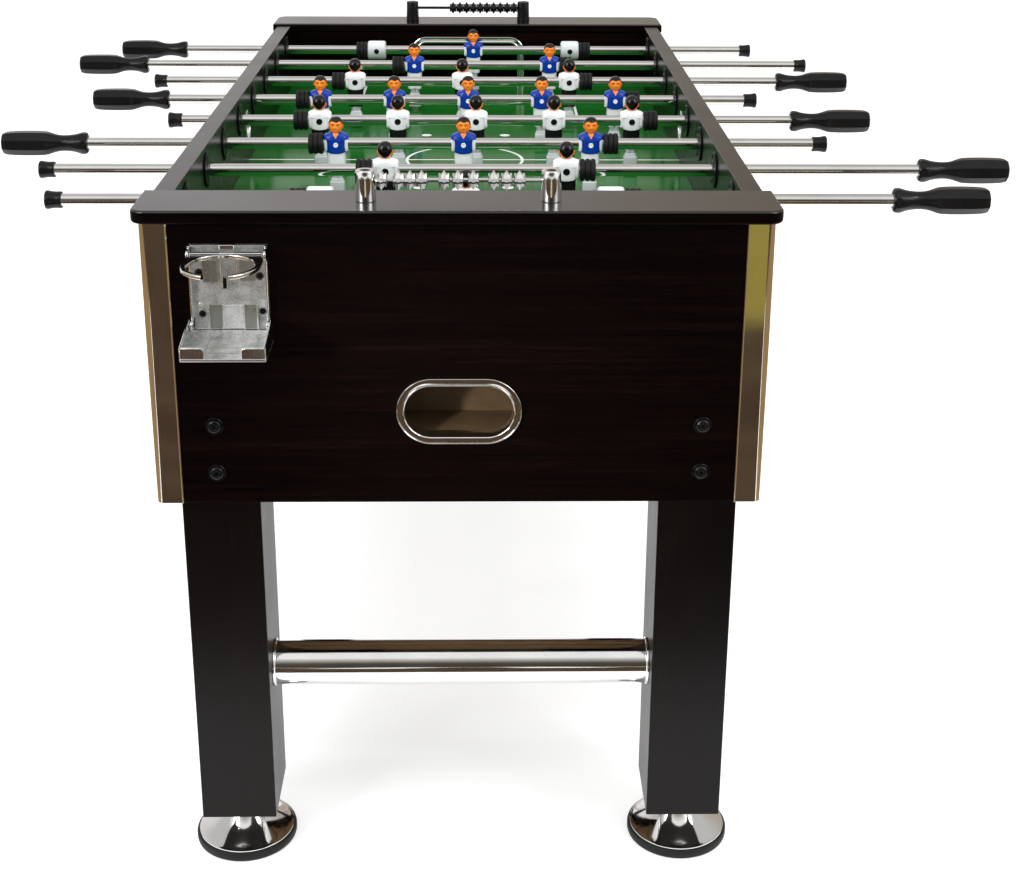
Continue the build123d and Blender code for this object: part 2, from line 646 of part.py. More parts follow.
def cup_holder_plate():
    half = CUP_PLATE_WIDTH / 2
    heights = (CUP_BASE_HEIGHT, CUP_BASE_HEIGHT + CUP_PLATE_HEIGHT)
    plate = slab((-half, half), (-END_FACE - CUP_PLATE_THICKNESS, -END_FACE), heights)
    pin_hole = clear_bore(CUP_PIN_RADIUS + CUP_PIN_FIT, CUP_WALL)
    for wall_low in (-half, half - CUP_WALL):
        wall_high = wall_low + CUP_WALL
        plate += slab((wall_low, wall_high), (-END_FACE - CUP_WALL_DEPTH, -END_FACE), heights)
        for pivot_z in (RING_PIVOT_Z, TRAY_PIVOT_Z):
            plate += lengthwise(ear_outline(pivot_z), wall_low, wall_high)
            plate -= along_x(pin_hole, wall_low, PIVOT_Y, pivot_z)
    return Pos(CUP_X, 0, 0) * plate


def cup_holder_ring():
    barrel = CUP_PLATE_WIDTH / 2 - CUP_WALL - CUP_GAP
    ear_clear = CUP_EAR / 2 + CUP_GAP
    half_outline = [
        (barrel, 0),
        (barrel, -ear_clear),
        (RING_RADIUS, -RING_SHOULDER),
        (RING_RADIUS, -RING_RADIUS),
    ]
    outline = half_outline + [(-x, y) for x, y in half_outline[::-1]]
    eye = Pos(0, -RING_RADIUS)
    band = make_face(Polyline(*outline, close=True)) + eye * RegularPolygon(RING_RADIUS, RING_FLATS)
    band -= eye * RegularPolygon(RING_RADIUS - RING_BAND, RING_FLATS)
    band -= Pos(0, -2 * RING_RADIUS) * Rectangle(RING_MOUTH, RING_RADIUS)
    ring = Pos(0, PIVOT_Y, RING_PIVOT_Z - RING_THICKNESS / 2) * extrude(band, RING_THICKNESS)
    ring += along_x(prism(RING_BARREL_RADIUS, 2 * barrel, BORE_FLATS), -barrel, PIVOT_Y, RING_PIVOT_Z)
    pin = bar(CUP_PIN_RADIUS, CUP_PLATE_WIDTH)
    ring += along_x(pin, -CUP_PLATE_WIDTH / 2, PIVOT_Y, RING_PIVOT_Z)
    return Pos(CUP_X, 0, 0) * ring


def cup_holder_tray():
    inner = CUP_PLATE_WIDTH / 2 + CUP_GAP
    outer = inner + TRAY_SHEET
    under = TRAY_PIVOT_Z - TRAY_DROP
    floor_top = under + TRAY_SHEET
    front = PIVOT_Y - TRAY_LENGTH
    back = PIVOT_Y + TRAY_BACK
    boss = CUP_EAR / 2
    cheek = [
        (front, under),
        (back, under),
        (PIVOT_Y + boss, TRAY_PIVOT_Z + boss),
        (PIVOT_Y - boss, TRAY_PIVOT_Z + boss),
        (front, floor_top + TRAY_LIP),
    ]
    tray = slab((-outer, outer), (front, back), (under, floor_top))
    pin_length = outer - CUP_PLATE_WIDTH / 2 + CUP_WALL
    pin = bar(CUP_PIN_RADIUS, pin_length)
    for side in ENDS:
        cheek_low = inner if side > 0 else -outer
        pin_low = outer - pin_length if side > 0 else -outer
        tray += lengthwise(cheek, cheek_low, cheek_low + TRAY_SHEET)
        lip = (side * TRAY_LIP_NOTCH / 2, side * outer)
        tray += slab(lip, (front, front + TRAY_SHEET), (under, floor_top + TRAY_LIP))
        tray += along_x(pin, pin_low, PIVOT_Y, TRAY_PIVOT_Z)
    return Pos(CUP_X, 0, 0) * tray


nodes["cup_holder_plate"] = [cup_holder_plate()]
nodes["cup_holder_ring"] = [cup_holder_ring()]
nodes["cup_holder_tray"] = [cup_holder_tray()]

os.makedirs("parts", exist_ok=True)
for name, shapes in nodes.items():
    solids = [solid for shape in shapes for solid in shape.solids()]
    export_step(solids[0] if len(solids) == 1 else Compound(solids), f"parts/{name}.step")
print(f"{len(nodes)} nodes")
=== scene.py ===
import math
import bmesh
import bpy
from mathutils import Matrix, Vector


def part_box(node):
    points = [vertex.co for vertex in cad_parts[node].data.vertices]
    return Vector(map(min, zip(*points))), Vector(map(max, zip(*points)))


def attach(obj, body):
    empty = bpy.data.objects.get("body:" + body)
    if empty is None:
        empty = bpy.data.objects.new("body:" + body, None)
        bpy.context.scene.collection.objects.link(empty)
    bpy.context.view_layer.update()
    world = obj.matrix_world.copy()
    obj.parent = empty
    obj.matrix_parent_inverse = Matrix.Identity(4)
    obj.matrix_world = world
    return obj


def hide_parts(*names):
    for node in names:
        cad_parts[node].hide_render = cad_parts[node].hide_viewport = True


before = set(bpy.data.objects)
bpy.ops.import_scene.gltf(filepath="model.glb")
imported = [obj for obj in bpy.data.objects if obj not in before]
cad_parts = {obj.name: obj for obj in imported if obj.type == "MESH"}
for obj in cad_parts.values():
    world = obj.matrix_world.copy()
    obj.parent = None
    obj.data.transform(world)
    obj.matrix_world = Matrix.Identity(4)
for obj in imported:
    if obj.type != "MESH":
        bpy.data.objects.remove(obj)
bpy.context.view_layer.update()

# Legs
# Square posts of fibreboard folded up in dark wenge laminate, bolted inside the cabinet's corners.
# The printed grain runs up each post, and the folds leave tight, slightly rounded edges.
LEG_WIDTH, LEG_DEPTH, LEG_FOOT, LEG_TOP = 0.095, 0.110, 0.062, 0.680
LEG_OUTER_X, LEG_OUTER_Y, LEG_EDGE = 0.336, 0.691, 0.0012
ACROSS, LENGTHWAYS, UPWARD = range(3)
LAMINATE_DARK = (0.0010, 0.0003, 0.0002)
LAMINATE_MID = (0.0026, 0.0008, 0.0005)
LAMINATE_STREAK = (0.0058, 0.0020, 0.0012)


def new_finish(name):
    """A new material, with its node tree and its shader."""
    material = bpy.data.materials.new(name)
    material.use_nodes = True
    return material, material.node_tree, material.node_tree.nodes["Principled BSDF"]


def add(tree, kind, inputs=None, **settings):
    """Adds a node, sets it up, and gives each input a number or another node's output."""
    made = tree.nodes.new("ShaderNode" + kind)
    for key, value in settings.items():
        setattr(made, key, value)
    feed(tree, made, inputs or {})
    return made


def feed(tree, made, inputs):
    """Gives each of a node's inputs a number or another node's output."""
    for key, value in inputs.items():
        if isinstance(value, bpy.types.NodeSocket):
            tree.links.new(value, made.inputs[key])
        else:
            made.inputs[key].default_value = value


def ramp(tree, source, stops):
    """Colours along a value: stops are place and colour."""
    made = tree.nodes.new("ShaderNodeValToRGB")
    elements = made.color_ramp.elements
    while len(elements) < len(stops):
        elements.new(0.5)
    for element, (place, colour) in zip(elements, stops):
        element.position = place
        element.color = (*colour, 1.0)
    tree.links.new(source, made.inputs["Fac"])
    return made.outputs["Color"]


def span(tree, source, low, high):
    """A value from 0 to 1 made to run from low to high."""
    return add(tree, "MapRange", {"Value": source, "To Min": low, "To Max": high}).outputs["Result"]


def even(value):
    """The same along all three axes, or a grey."""
    return (value, value, value)


def grain(tree, scale, detail, rough, offset=even(0.0)):
    """Noise in the piece's own place, in waves per metre along each axis."""
    place = add(tree, "TexCoord").outputs["Object"]
    moved = add(tree, "Mapping", {"Vector": place, "Scale": scale, "Location": offset}).outputs["Vector"]
    made = add(tree, "TexNoise", {"Vector": moved, "Scale": 1.0, "Detail": detail, "Roughness": rough})
    return made.outputs[0]


def bump(tree, height, strength, distance):
    """Relief of a finish that is too fine to model."""
    return add(tree, "Bump", {"Height": height, "Strength": strength, "Distance": distance}).outputs["Normal"]


def blended(tree, share, first, second):
    """One value mixed with a share of another."""
    return add(tree, "Mix", {0: share, 2: first, 3: second}, data_type="FLOAT").outputs[0]


def shaded(tree, colour, shade):
    """A colour darkened by a second one."""
    made = add(tree, "Mix", {0: 1.0, 6: colour, 7: shade}, data_type="RGBA", blend_type="MULTIPLY")
    return made.outputs[2]


def laminate(name, along, sheen=0.05, dull=0.30):
    """Wenge print under a satin film: broad bands, long streaks and short open pores along one axis."""

    def waves(across, lengthways):
        """Waves per metre across the grain and along it."""
        return [lengthways if axis == along else across for axis in range(3)]

    material, tree, shader = new_finish(name)
    bands = grain(tree, waves(34.0, 1.1), 3.0, 0.55)
    streaks = grain(tree, waves(260.0, 4.5), 6.0, 0.65, (3.1, 1.7, 0.4))
    pores = grain(tree, waves(1100.0, 26.0), 2.0, 0.5, (0.6, 5.2, 2.9))
    mixed = blended(tree, 0.62, bands, streaks)
    print_colour = ramp(tree, mixed, [(0.36, LAMINATE_DARK), (0.52, LAMINATE_MID), (0.66, LAMINATE_STREAK)])
    pore_shade = ramp(tree, pores, [(0.36, even(0.35)), (0.46, even(1.0))])
    smears = grain(tree, even(9.0), 3.0, 0.5)
    feed(tree, shader, {
        "Base Color": shaded(tree, print_colour, pore_shade),
        "Roughness": span(tree, smears, dull, dull + 0.12),
        "Normal": bump(tree, pores, 0.10, 0.0004),
        "Specular IOR Level": sheen,
    })
    return material


def meshed(name, shape, place=Matrix()):
    """Makes a mesh of a drawn shape and moves it to its place."""
    mesh = bpy.data.meshes.new(name)
    shape.to_mesh(mesh)
    shape.free()
    mesh.transform(place)
    return mesh


def boards(name, boxes, edge):
    """A mesh of straight boards between opposite corners, with their edges rounded."""
    shape = bmesh.new()
    for low, high in boxes:
        corners = [sorted(pair) for pair in zip(low, high)]
        size = [far - near for near, far in corners]
        middle = [(near + far) / 2 for near, far in corners]
        place = Matrix.Translation(middle) @ Matrix.Diagonal((*size, 1.0))
        bmesh.ops.create_cube(shape, size=1.0, matrix=place)
    bmesh.ops.bevel(shape, geom=shape.edges[:], offset=edge, segments=3, profile=0.5, affect="EDGES")
    return meshed(name, shape)


def show(name, mesh, finishes, body, nodes, crease=35.0, flat_sides=False):
    """Puts a mesh in the scene with its finishes, on its body, in place of the nodes that it stands for."""
    for finish in finishes:
        mesh.materials.append(finish)
    mesh.shade_smooth()
    mesh.set_sharp_from_angle(angle=math.radians(crease))
    made = bpy.data.objects.new(name, mesh)
    bpy.context.scene.collection.objects.link(made)
    if flat_sides:
        made.modifiers.new("flat sides", "WEIGHTED_NORMAL").keep_sharp = True
    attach(made, body)
    if nodes:
        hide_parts(*nodes)
    return made


laminate_up = laminate("wenge laminate, grain up", UPWARD, sheen=0.20, dull=0.26)
leg_boxes = [
    (
        (side * LEG_OUTER_X, end * LEG_OUTER_Y, LEG_FOOT),
        (side * (LEG_OUTER_X - LEG_WIDTH), end * (LEG_OUTER_Y - LEG_DEPTH), LEG_TOP),
    )
    for side in (-1, 1)
    for end in (-1, 1)
]
leg_mesh = boards("legs", leg_boxes, LEG_EDGE)
show("leg_posts", leg_mesh, [laminate_up], "cabinet", ["legs"], flat_sides=True)

# Levelling feet
# A spun chrome cone with a rolled rim sits on a moulded rubber tread, on a stud that screws into the leg.
# Each foot is its own body, because it screws up and down.
CONE_PROFILE = [
    (0.0, 0.0619), (0.0138, 0.0619), (0.0148, 0.0612), (0.0153, 0.0600), (0.0182, 0.0550), (0.0219, 0.0480),
    (0.0264, 0.0410), (0.0320, 0.0330), (0.0377, 0.0280), (0.0433, 0.0240), (0.0500, 0.0200),
    (0.0553, 0.0172), (0.0590, 0.0154), (0.0604, 0.0149), (0.0617, 0.0148), (0.0625, 0.0143),
    (0.0627, 0.0136), (0.0620, 0.0131), (0.0600, 0.0129),
]
TREAD_PROFILE = [
    (0.0, 0.0), (0.0622, 0.0), (0.0640, 0.0004), (0.0654, 0.0016), (0.0660, 0.0036), (0.0660, 0.0096),
    (0.0655, 0.0114), (0.0642, 0.0126), (0.0612, 0.0130),
]
STUD_PROFILE = [(0.0060, 0.0610), (0.0060, 0.1055), (0.0050, 0.1070), (0.0, 0.1070)]
LEG_X, LEG_Y = 0.2885, 0.636


def round_turns(count):
    """Equal turns all the way round."""
    return [2 * math.pi * n / count for n in range(count)]


def flat_radius(radius, flats, turn):
    """The distance to a flat-sided outline's edge at an angle, for corners at the radius."""
    step = 2 * math.pi / flats
    return radius * math.cos(step / 2) / math.cos((turn % step) - step / 2)


def turned(name, profile, count, place):
    """A turned mesh round Z, from points of radius and height.

    Where the piece isn't round, a point also gives its number of flats and how flat they are.
    """
    shape = bmesh.new()
    rings = []
    for radius, height, *flats in profile:
        if radius == 0.0:
            rings.append([shape.verts.new((0.0, 0.0, height))])
            continue
        ring = []
        for turn in round_turns(count):
            reach = radius
            if flats:
                reach += flats[1] * (flat_radius(radius, flats[0], turn) - radius)
            ring.append(shape.verts.new((reach * math.cos(turn), reach * math.sin(turn), height)))
        rings.append(ring)
    for low, high in zip(rings, rings[1:]):
        for n in range(count):
            corners = ((low, n), (low, n + 1), (high, n + 1), (high, n))
            quad = [ring[step % len(ring)] for ring, step in corners]
            shape.faces.new(list(dict.fromkeys(quad)))
    for ring in (rings[0], rings[-1]):
        if len(ring) > 1:
            shape.faces.new(ring)
    bmesh.ops.recalc_face_normals(shape, faces=shape.faces[:])
    return meshed(name, shape, place)


def chrome(name, tint, smear=0.05, dull=0.03):
    """Bright plating with faint polishing haze and finger smears."""
    material, tree, shader = new_finish(name)
    haze = grain(tree, even(22.0), 4.0, 0.6)
    fine = grain(tree, even(420.0), 2.0, 0.5)
    both = blended(tree, 0.3, haze, fine)
    wear = ramp(tree, both, [(0.35, [c * 0.90 for c in tint]), (0.62, tint)])
    feed(tree, shader, {
        "Base Color": wear,
        "Metallic": 1.0,
        "Roughness": span(tree, both, dull, dull + 2 * smear),
        "Normal": bump(tree, haze, 0.02, 0.002),
    })
    return material


def rubber(name, colour):
    """Soft moulded rubber: nearly black, dusty, with a fine dull grain."""
    material, tree, shader = new_finish(name)
    dust = grain(tree, even(38.0), 5.0, 0.6)
    pits = grain(tree, even(900.0), 2.0, 0.5)
    feed(tree, shader, {
        "Base Color": ramp(tree, dust, [(0.4, colour), (0.75, [c * 2.2 for c in colour])]),
        "Roughness": span(tree, dust, 0.48, 0.66),
        "Normal": bump(tree, pits, 0.18, 0.0004),
        "Specular IOR Level": 0.25,
    })
    return material


foot_chrome = chrome("spun chrome of the feet", (0.80, 0.79, 0.77))
tread_rubber = rubber("rubber of the treads", (0.0060, 0.0058, 0.0060))
foot_pieces = (
    ("cone", CONE_PROFILE, 96, foot_chrome),
    ("tread", TREAD_PROFILE, 96, tread_rubber),
    ("stud", STUD_PROFILE, 24, foot_chrome),
)
for end_name, end in (("near", -1), ("far", 1)):
    for side_name, side in (("left", -1), ("right", 1)):
        foot = f"foot_{end_name}_{side_name}"
        stand = Matrix.Translation((side * LEG_X, end * LEG_Y, 0.0))
        for piece, profile, count, finish in foot_pieces:
            mesh = turned(f"{foot}_{piece}", profile, count, stand)
            show(f"{foot}_{piece}", mesh, [finish], foot, [foot])

# Leg stretchers
# Chromed steel tubes between the legs of each end, held by a pressed flange against each leg.
# A tube and its flanges are turned as one piece, because no seam shows between them.
STRETCHER_SPAN, STRETCHER_HEIGHT = 0.482, 0.260
FLANGE_HALF = [
    (0.0262, 0.0), (0.0298, 0.0), (0.0304, 0.0006), (0.0304, 0.0020), (0.0299, 0.0028), (0.0291, 0.0033),
    (0.0285, 0.0042),
]


def both_ways(half, length):
    """A profile, and its mirror image at the other end of a length."""
    return half + [(radius, length - height) for radius, height in reversed(half)]


def along_x(x, y, z):
    """Lays a turned piece down along +X with its foot at a place."""
    return Matrix.Translation((x, y, z)) @ Matrix.Rotation(math.pi / 2, 4, "Y")


def gathered(name, meshes):
    """Joins meshes into one, each keeping which finish its faces take."""
    shape = bmesh.new()
    for mesh in meshes:
        shape.from_mesh(mesh)
        bpy.data.meshes.remove(mesh)
    return meshed(name, shape)


tube_chrome = chrome("chromed tube", (0.82, 0.82, 0.81))
stretcher_profile = both_ways(FLANGE_HALF, STRETCHER_SPAN)
stretchers = gathered("stretchers", [
    turned("stretcher", stretcher_profile, 96, along_x(-STRETCHER_SPAN / 2, end * LEG_Y, STRETCHER_HEIGHT))
    for end in (-1, 1)
])
show("stretcher_tubes", stretchers, [tube_chrome], "cabinet", ["leg_stretchers"],
     flat_sides=True)

# Cabinet boards
# Fibreboard with the same laminate: side panels drilled for the rod bearings and the serving ports,
# end panels with the ball return hole, and the inner goal walls. The grain runs along each board.
EDGE_WRAP = 0.0011


def softened(name, node):
    """A copy of a board's solid with its flat faces rejoined, ready for its edges to be eased."""
    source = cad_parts[node].data
    board = bpy.data.meshes.new(name)
    board.from_pydata([v.co for v in source.vertices], [], [list(p.vertices) for p in source.polygons])
    shape = bmesh.new()
    shape.from_mesh(board)
    bmesh.ops.remove_doubles(shape, verts=shape.verts[:], dist=1e-6)
    bmesh.ops.dissolve_limit(shape, angle_limit=math.radians(1.0), verts=shape.verts[:], edges=shape.edges[:])
    shape.to_mesh(board)
    shape.free()
    return board


def eased(made, edge):
    """Eases a board's edges as the wrapped laminate does."""
    bevel = made.modifiers.new("eased edges", "BEVEL")
    bevel.width, bevel.segments, bevel.limit_method = edge, 2, "ANGLE"
    bevel.angle_limit = math.radians(30.0)
    made.modifiers.new("flat sides", "WEIGHTED_NORMAL").keep_sharp = False
    return made


laminate_across = laminate("wenge laminate, grain across", ACROSS)
laminate_long = laminate("wenge laminate, grain lengthways", LENGTHWAYS, sheen=0.40, dull=0.20)
board_finishes = {"side_panels": laminate_long, "end_panels": laminate_across, "goal_walls": laminate_across}
for node, finish in board_finishes.items():
    board = show(node + "_boards", softened(node, node), [finish], "cabinet", [node])
    eased(board, EDGE_WRAP)

# End rails
# Thick boards screwed down over the ends, wrapped in the laminate, with rounded outer corners
# and softly rounded top and bottom edges that catch the light.
RAIL_HALF, RAIL_OUTER, RAIL_INNER = 0.370, 0.720, 0.623
RAIL_UNDERSIDE, RAIL_TOP, RAIL_CORNER = 0.870, 0.886, 0.018
RAIL_EDGE = 0.0035
HALF_TURN = Matrix.Rotation(math.pi, 4, "Z")


def slab_mesh(name, outline, low, high, edge, segments=4):
    """An outline in X and Y pulled up between two heights, with its rims rounded."""
    shape = bmesh.new()
    under = shape.faces.new([shape.verts.new((x, y, low)) for x, y in outline])
    pulled = bmesh.ops.extrude_face_region(shape, geom=[under])
    top = [v for v in pulled["geom"] if isinstance(v, bmesh.types.BMVert)]
    bmesh.ops.translate(shape, verts=top, vec=(0.0, 0.0, high - low))
    bmesh.ops.recalc_face_normals(shape, faces=shape.faces[:])
    rims = [e for e in shape.edges if abs(e.verts[0].co.z - e.verts[1].co.z) < 1e-7]
    bmesh.ops.bevel(shape, geom=rims, offset=edge, segments=segments, profile=0.5, affect="EDGES")
    return meshed(name, shape)


def arc(x, y, radius, start, stop, count):
    """Points round part of a circle, in degrees."""
    turns = [math.radians(start + (stop - start) * n / count) for n in range(count + 1)]
    return [(x + radius * math.cos(turn), y + radius * math.sin(turn)) for turn in turns]


def top_and_rest(mesh, least_up):
    """Gives the faces that look up more than this the first finish, and all others the second."""
    for face in mesh.polygons:
        face.material_index = 0 if face.normal.z > least_up else 1


rail_centre = RAIL_HALF - RAIL_CORNER
near_corner = -RAIL_OUTER + RAIL_CORNER
rail_outline = (
    [(RAIL_HALF, -RAIL_INNER), (-RAIL_HALF, -RAIL_INNER)]
    + arc(-rail_centre, near_corner, RAIL_CORNER, 180, 270, 10)
    + arc(rail_centre, near_corner, RAIL_CORNER, 270, 360, 10)
)
near_rail = slab_mesh("near rail", rail_outline, RAIL_UNDERSIDE, RAIL_TOP, RAIL_EDGE)
far_rail = near_rail.copy()
far_rail.transform(HALF_TURN)
rails = gathered("rails", [near_rail, far_rail])
top_and_rest(rails, 0.5)
rail_laminate = laminate("wenge laminate, polished", ACROSS, sheen=0.70, dull=0.16)
show("end_rail_boards", rails, [rail_laminate, laminate_across], "cabinet", ["end_rails"],
     flat_sides=True)

# Leg bolts
# Black oxide button heads with a hexagon socket and a plain washer, two through each end panel into each leg.
# A head and its washer are turned as one piece, and the shank is hidden in the boards.
BOLT_HEIGHTS, END_FACE = (0.561, 0.621), 0.709
BOLT_PROFILE = [
    (0.0104, 0.0), (0.0108, 0.0004), (0.0108, 0.0010), (0.0104, 0.0014), (0.0087, 0.0014), (0.0087, 0.0019),
    (0.0083, 0.0028), (0.0072, 0.0039), (0.0056, 0.0047), (0.0042, 0.0050), (0.0037, 0.0049),
    (0.0034, 0.0044, 6, 1.0), (0.0034, 0.0022, 6, 1.0), (0.0, 0.0018),
]


def facing_end(x, end, z, face=END_FACE):
    """Stands a turned piece on a face towards the near or the far end, pointing outward."""
    return Matrix.Translation((x, end * face, z)) @ Matrix.Rotation(-end * math.pi / 2, 4, "X")


def dark_steel(name):
    """Blackened steel: dark, a little oily, with brighter worn edges in the noise."""
    material, tree, shader = new_finish(name)
    cloud = grain(tree, even(130.0), 5.0, 0.65)
    feed(tree, shader, {
        "Base Color": ramp(tree, cloud, [(0.35, (0.005, 0.005, 0.006)), (0.75, (0.020, 0.020, 0.019))]),
        "Metallic": 0.75,
        "Roughness": span(tree, cloud, 0.16, 0.30),
        "Normal": bump(tree, cloud, 0.12, 0.0003),
    })
    return material


black_steel_and_slot_shade = dark_steel("black oxide steel")
bolts = gathered("bolts", [
    turned("bolt", BOLT_PROFILE, 48, facing_end(side * LEG_X, end, height))
    for side in (-1, 1)
    for end in (-1, 1)
    for height in BOLT_HEIGHTS
])
show("leg_bolt_heads", bolts, [black_steel_and_slot_shade], "cabinet", ["leg_bolts"])

# Playfield
# A sheet of fibreboard with a printed and varnished green pitch: pale and dark mown bands, white lines.
# The lines are a thin layer of white ink on the board.
FIELD_HALF, GOAL_LINE, FIELD_UNDER, FIELD_TOP = 0.336, 0.623, 0.763, 0.772
PITCH_EDGE, INK, LINE = 0.0006, 0.00012, 0.0046
INK_TOP = FIELD_TOP + INK
BOX_FRONT, BOX_HALF, CIRCLE, SPOT, ARC_RADIUS, ARC_CENTRE = 0.280, 0.196, 0.0925, 0.0085, 0.0980, 0.345
SPOT_PLACES = [(x, y) for x in (-0.065, 0.065) for y in (-0.173, 0.173)] + [(0.0, -0.430), (0.0, 0.430)]
MOWN = 0.0890  # a pale and a dark band together


def varnished_pitch():
    """A green print of mown bands and short turf, under a varnish with a faint ripple."""
    material, tree, shader = new_finish("varnished green pitch")
    place = add(tree, "TexCoord").outputs["Object"]
    wave = add(tree, "TexWave", {"Vector": place, "Scale": math.pi / (10 * MOWN), "Distortion": 0.0},
               wave_type="BANDS", bands_direction="Y", wave_profile="SIN").outputs["Fac"]
    bands = ramp(tree, wave, [(0.47, (0.0060, 0.0900, 0.0100)), (0.53, (0.0095, 0.1130, 0.0140))])
    blades = grain(tree, (900.0, 220.0, 900.0), 3.0, 0.6)
    turf = ramp(tree, blades, [(0.3, even(0.84)), (0.7, even(1.08))])
    smears = grain(tree, even(5.0), 4.0, 0.6)
    ripple = grain(tree, even(16.0), 2.0, 0.5)
    feed(tree, shader, {
        "Base Color": shaded(tree, bands, turf),
        "Roughness": span(tree, smears, 0.08, 0.16),
        "Normal": bump(tree, ripple, 0.02, 0.002),
        "Specular IOR Level": 0.10,
    })
    return material


def ink(name, colour):
    """Screen-printed ink, slightly uneven."""
    material, tree, shader = new_finish(name)
    patches = grain(tree, even(60.0), 4.0, 0.6)
    feed(tree, shader, {
        "Base Color": ramp(tree, patches, [(0.3, [c * 0.90 for c in colour]), (0.7, colour)]),
        "Roughness": span(tree, patches, 0.16, 0.28),
    })
    return material


def strip(shape, inner, outer):
    """A printed strip between two rows of points."""
    low, high = [[shape.verts.new((x, y, INK_TOP)) for x, y in row] for row in (inner, outer)]
    for n in range(len(low) - 1):
        shape.faces.new((low[n], low[n + 1], high[n + 1], high[n]))


def line_between(shape, start, stop):
    """A straight printed line."""
    row = [Vector(start), Vector(stop)]
    along = (row[1] - row[0]).normalized()
    side = Vector((-along.y, along.x)) * LINE / 2
    strip(shape, [tuple(p - side) for p in row], [tuple(p + side) for p in row])


def raw_board(name, low=(0.155, 0.085, 0.038), high=(0.285, 0.175, 0.090)):
    """Sawn fibreboard: cloudy brown, with fine loose fibres."""
    material, tree, shader = new_finish(name)
    cloud = grain(tree, even(24.0), 5.0, 0.65)
    fibres = grain(tree, (1400.0, 500.0, 1400.0), 3.0, 0.6)
    both = blended(tree, 0.45, cloud, fibres)
    feed(tree, shader, {
        "Base Color": ramp(tree, both, [(0.34, low), (0.66, high)]),
        "Roughness": span(tree, both, 0.70, 0.86),
        "Normal": bump(tree, fibres, 0.25, 0.0004),
        "Specular IOR Level": 0.25,
    })
    return material


pitch_lines = bmesh.new()
line_between(pitch_lines, (-FIELD_HALF, 0), (-CIRCLE, 0))
line_between(pitch_lines, (CIRCLE, 0), (FIELD_HALF, 0))
line_between(pitch_lines, (-CIRCLE + LINE, 0), (CIRCLE - LINE, 0))
strip(pitch_lines, arc(0, 0, CIRCLE - LINE, 0, 360, 96), arc(0, 0, CIRCLE, 0, 360, 96))
reach = math.degrees(math.acos((ARC_CENTRE - BOX_FRONT + LINE / 2) / ARC_RADIUS))
for end in (-1, 1):
    front = end * BOX_FRONT
    line_between(pitch_lines, (-BOX_HALF, front), (BOX_HALF, front))
    for side in (-1, 1):
        edge = side * (BOX_HALF - LINE / 2)
        line_between(pitch_lines, (edge, front + end * LINE / 2), (edge, end * GOAL_LINE))
    middle = -90.0 * end
    strip(pitch_lines, *[
        arc(0, end * ARC_CENTRE, radius, middle - reach, middle + reach, 48)
        for radius in (ARC_RADIUS - LINE, ARC_RADIUS)
    ])
for x, y in SPOT_PLACES:
    rim = arc(x, y, SPOT, 0, 345, 23)
    pitch_lines.faces.new([pitch_lines.verts.new((*point, INK_TOP)) for point in rim])
bmesh.ops.recalc_face_normals(pitch_lines, faces=pitch_lines.faces[:])
bmesh.ops.reverse_faces(pitch_lines, faces=[f for f in pitch_lines.faces if f.normal.z < 0])
line_mesh = meshed("pitch lines", pitch_lines)
pitch_corners = ((-FIELD_HALF, -GOAL_LINE, FIELD_UNDER), (FIELD_HALF, GOAL_LINE, FIELD_TOP))
pitch_board = boards("pitch", [pitch_corners], PITCH_EDGE)
top_and_rest(pitch_board, 0.1)
fibreboard = raw_board("raw fibreboard")
show("pitch_board", pitch_board, [varnished_pitch(), fibreboard], "cabinet", ["playfield"],
     flat_sides=True)
show("pitch_lines", line_mesh, [ink("white ink", (0.80, 0.82, 0.80))], "cabinet", [])

# Battens and ball return boxes
# Raw fibreboard that is never laminated: battens under the playfield, and a box behind each ball return
# with a floor that slopes to the hole. The boxes' board is coloured much darker than the battens, as painted
# shade inside the boxes.
BATTEN_PLACES, BATTEN_HALF, BATTEN_LOW = (-0.330, 0.0, 0.330), 0.020, 0.703
BATTEN_EDGE, BOX_EDGE = 0.0010, 0.0008
batten_boxes = [
    ((-FIELD_HALF, y - BATTEN_HALF, BATTEN_LOW), (FIELD_HALF, y + BATTEN_HALF, FIELD_UNDER))
    for y in BATTEN_PLACES
]
battens = boards("battens", batten_boxes, BATTEN_EDGE)
show("batten_boards", battens, [fibreboard], "cabinet", ["playfield_battens"], flat_sides=True)
# The boxes take the raw fibreboard about four times darker: painted shade inside the ball returns.
shaded_box_board = raw_board("fibreboard of the boxes, darkened as painted shade", (0.040, 0.022, 0.0085), (0.075, 0.044, 0.018))
box_mesh = softened("return boxes", "ball_return_boxes")
return_boxes = show("return_boards", box_mesh, [shaded_box_board], "cabinet", ["ball_return_boxes"])
eased(return_boxes, BOX_EDGE)

# Goal frames and ball return bezels
# Chromed mouldings swept round the holes. A goal frame has a raised inner and outer bead and stands on the
# pitch; a bezel has two rolled beads with a flat between them, and a collar that lines the hole.
GOAL_HALF, GOAL_TALL, GOAL_ROUND = 0.095, 0.078, 0.016
GOAL_SECTION = [
    (0.0, 0.0), (0.0, 0.0036), (0.0005, 0.0046), (0.0016, 0.0050), (0.0032, 0.0047), (0.0042, 0.0038),
    (0.0085, 0.0034), (0.0096, 0.0042), (0.0109, 0.0046), (0.0122, 0.0041), (0.0130, 0.0028), (0.0130, 0.0),
]
RETURN_REACH, RETURN_ROUND, RETURN_HEIGHT = 0.0325, 0.032, 0.640
BEZEL_SECTION = [
    (0.0, -0.0180), (0.0024, -0.0180), (0.0024, 0.0), (0.0095, 0.0), (0.0095, 0.0030), (0.0093, 0.0035),
    (0.0089, 0.0038), (0.0085, 0.0037), (0.0082, 0.0032), (0.0081, 0.0024), (0.0077, 0.0023),
    (0.0024, 0.0023), (0.0020, 0.0024), (0.0018, 0.0034), (0.0014, 0.0039), (0.0009, 0.0040),
    (0.0004, 0.0037), (0.0, 0.0030),
]


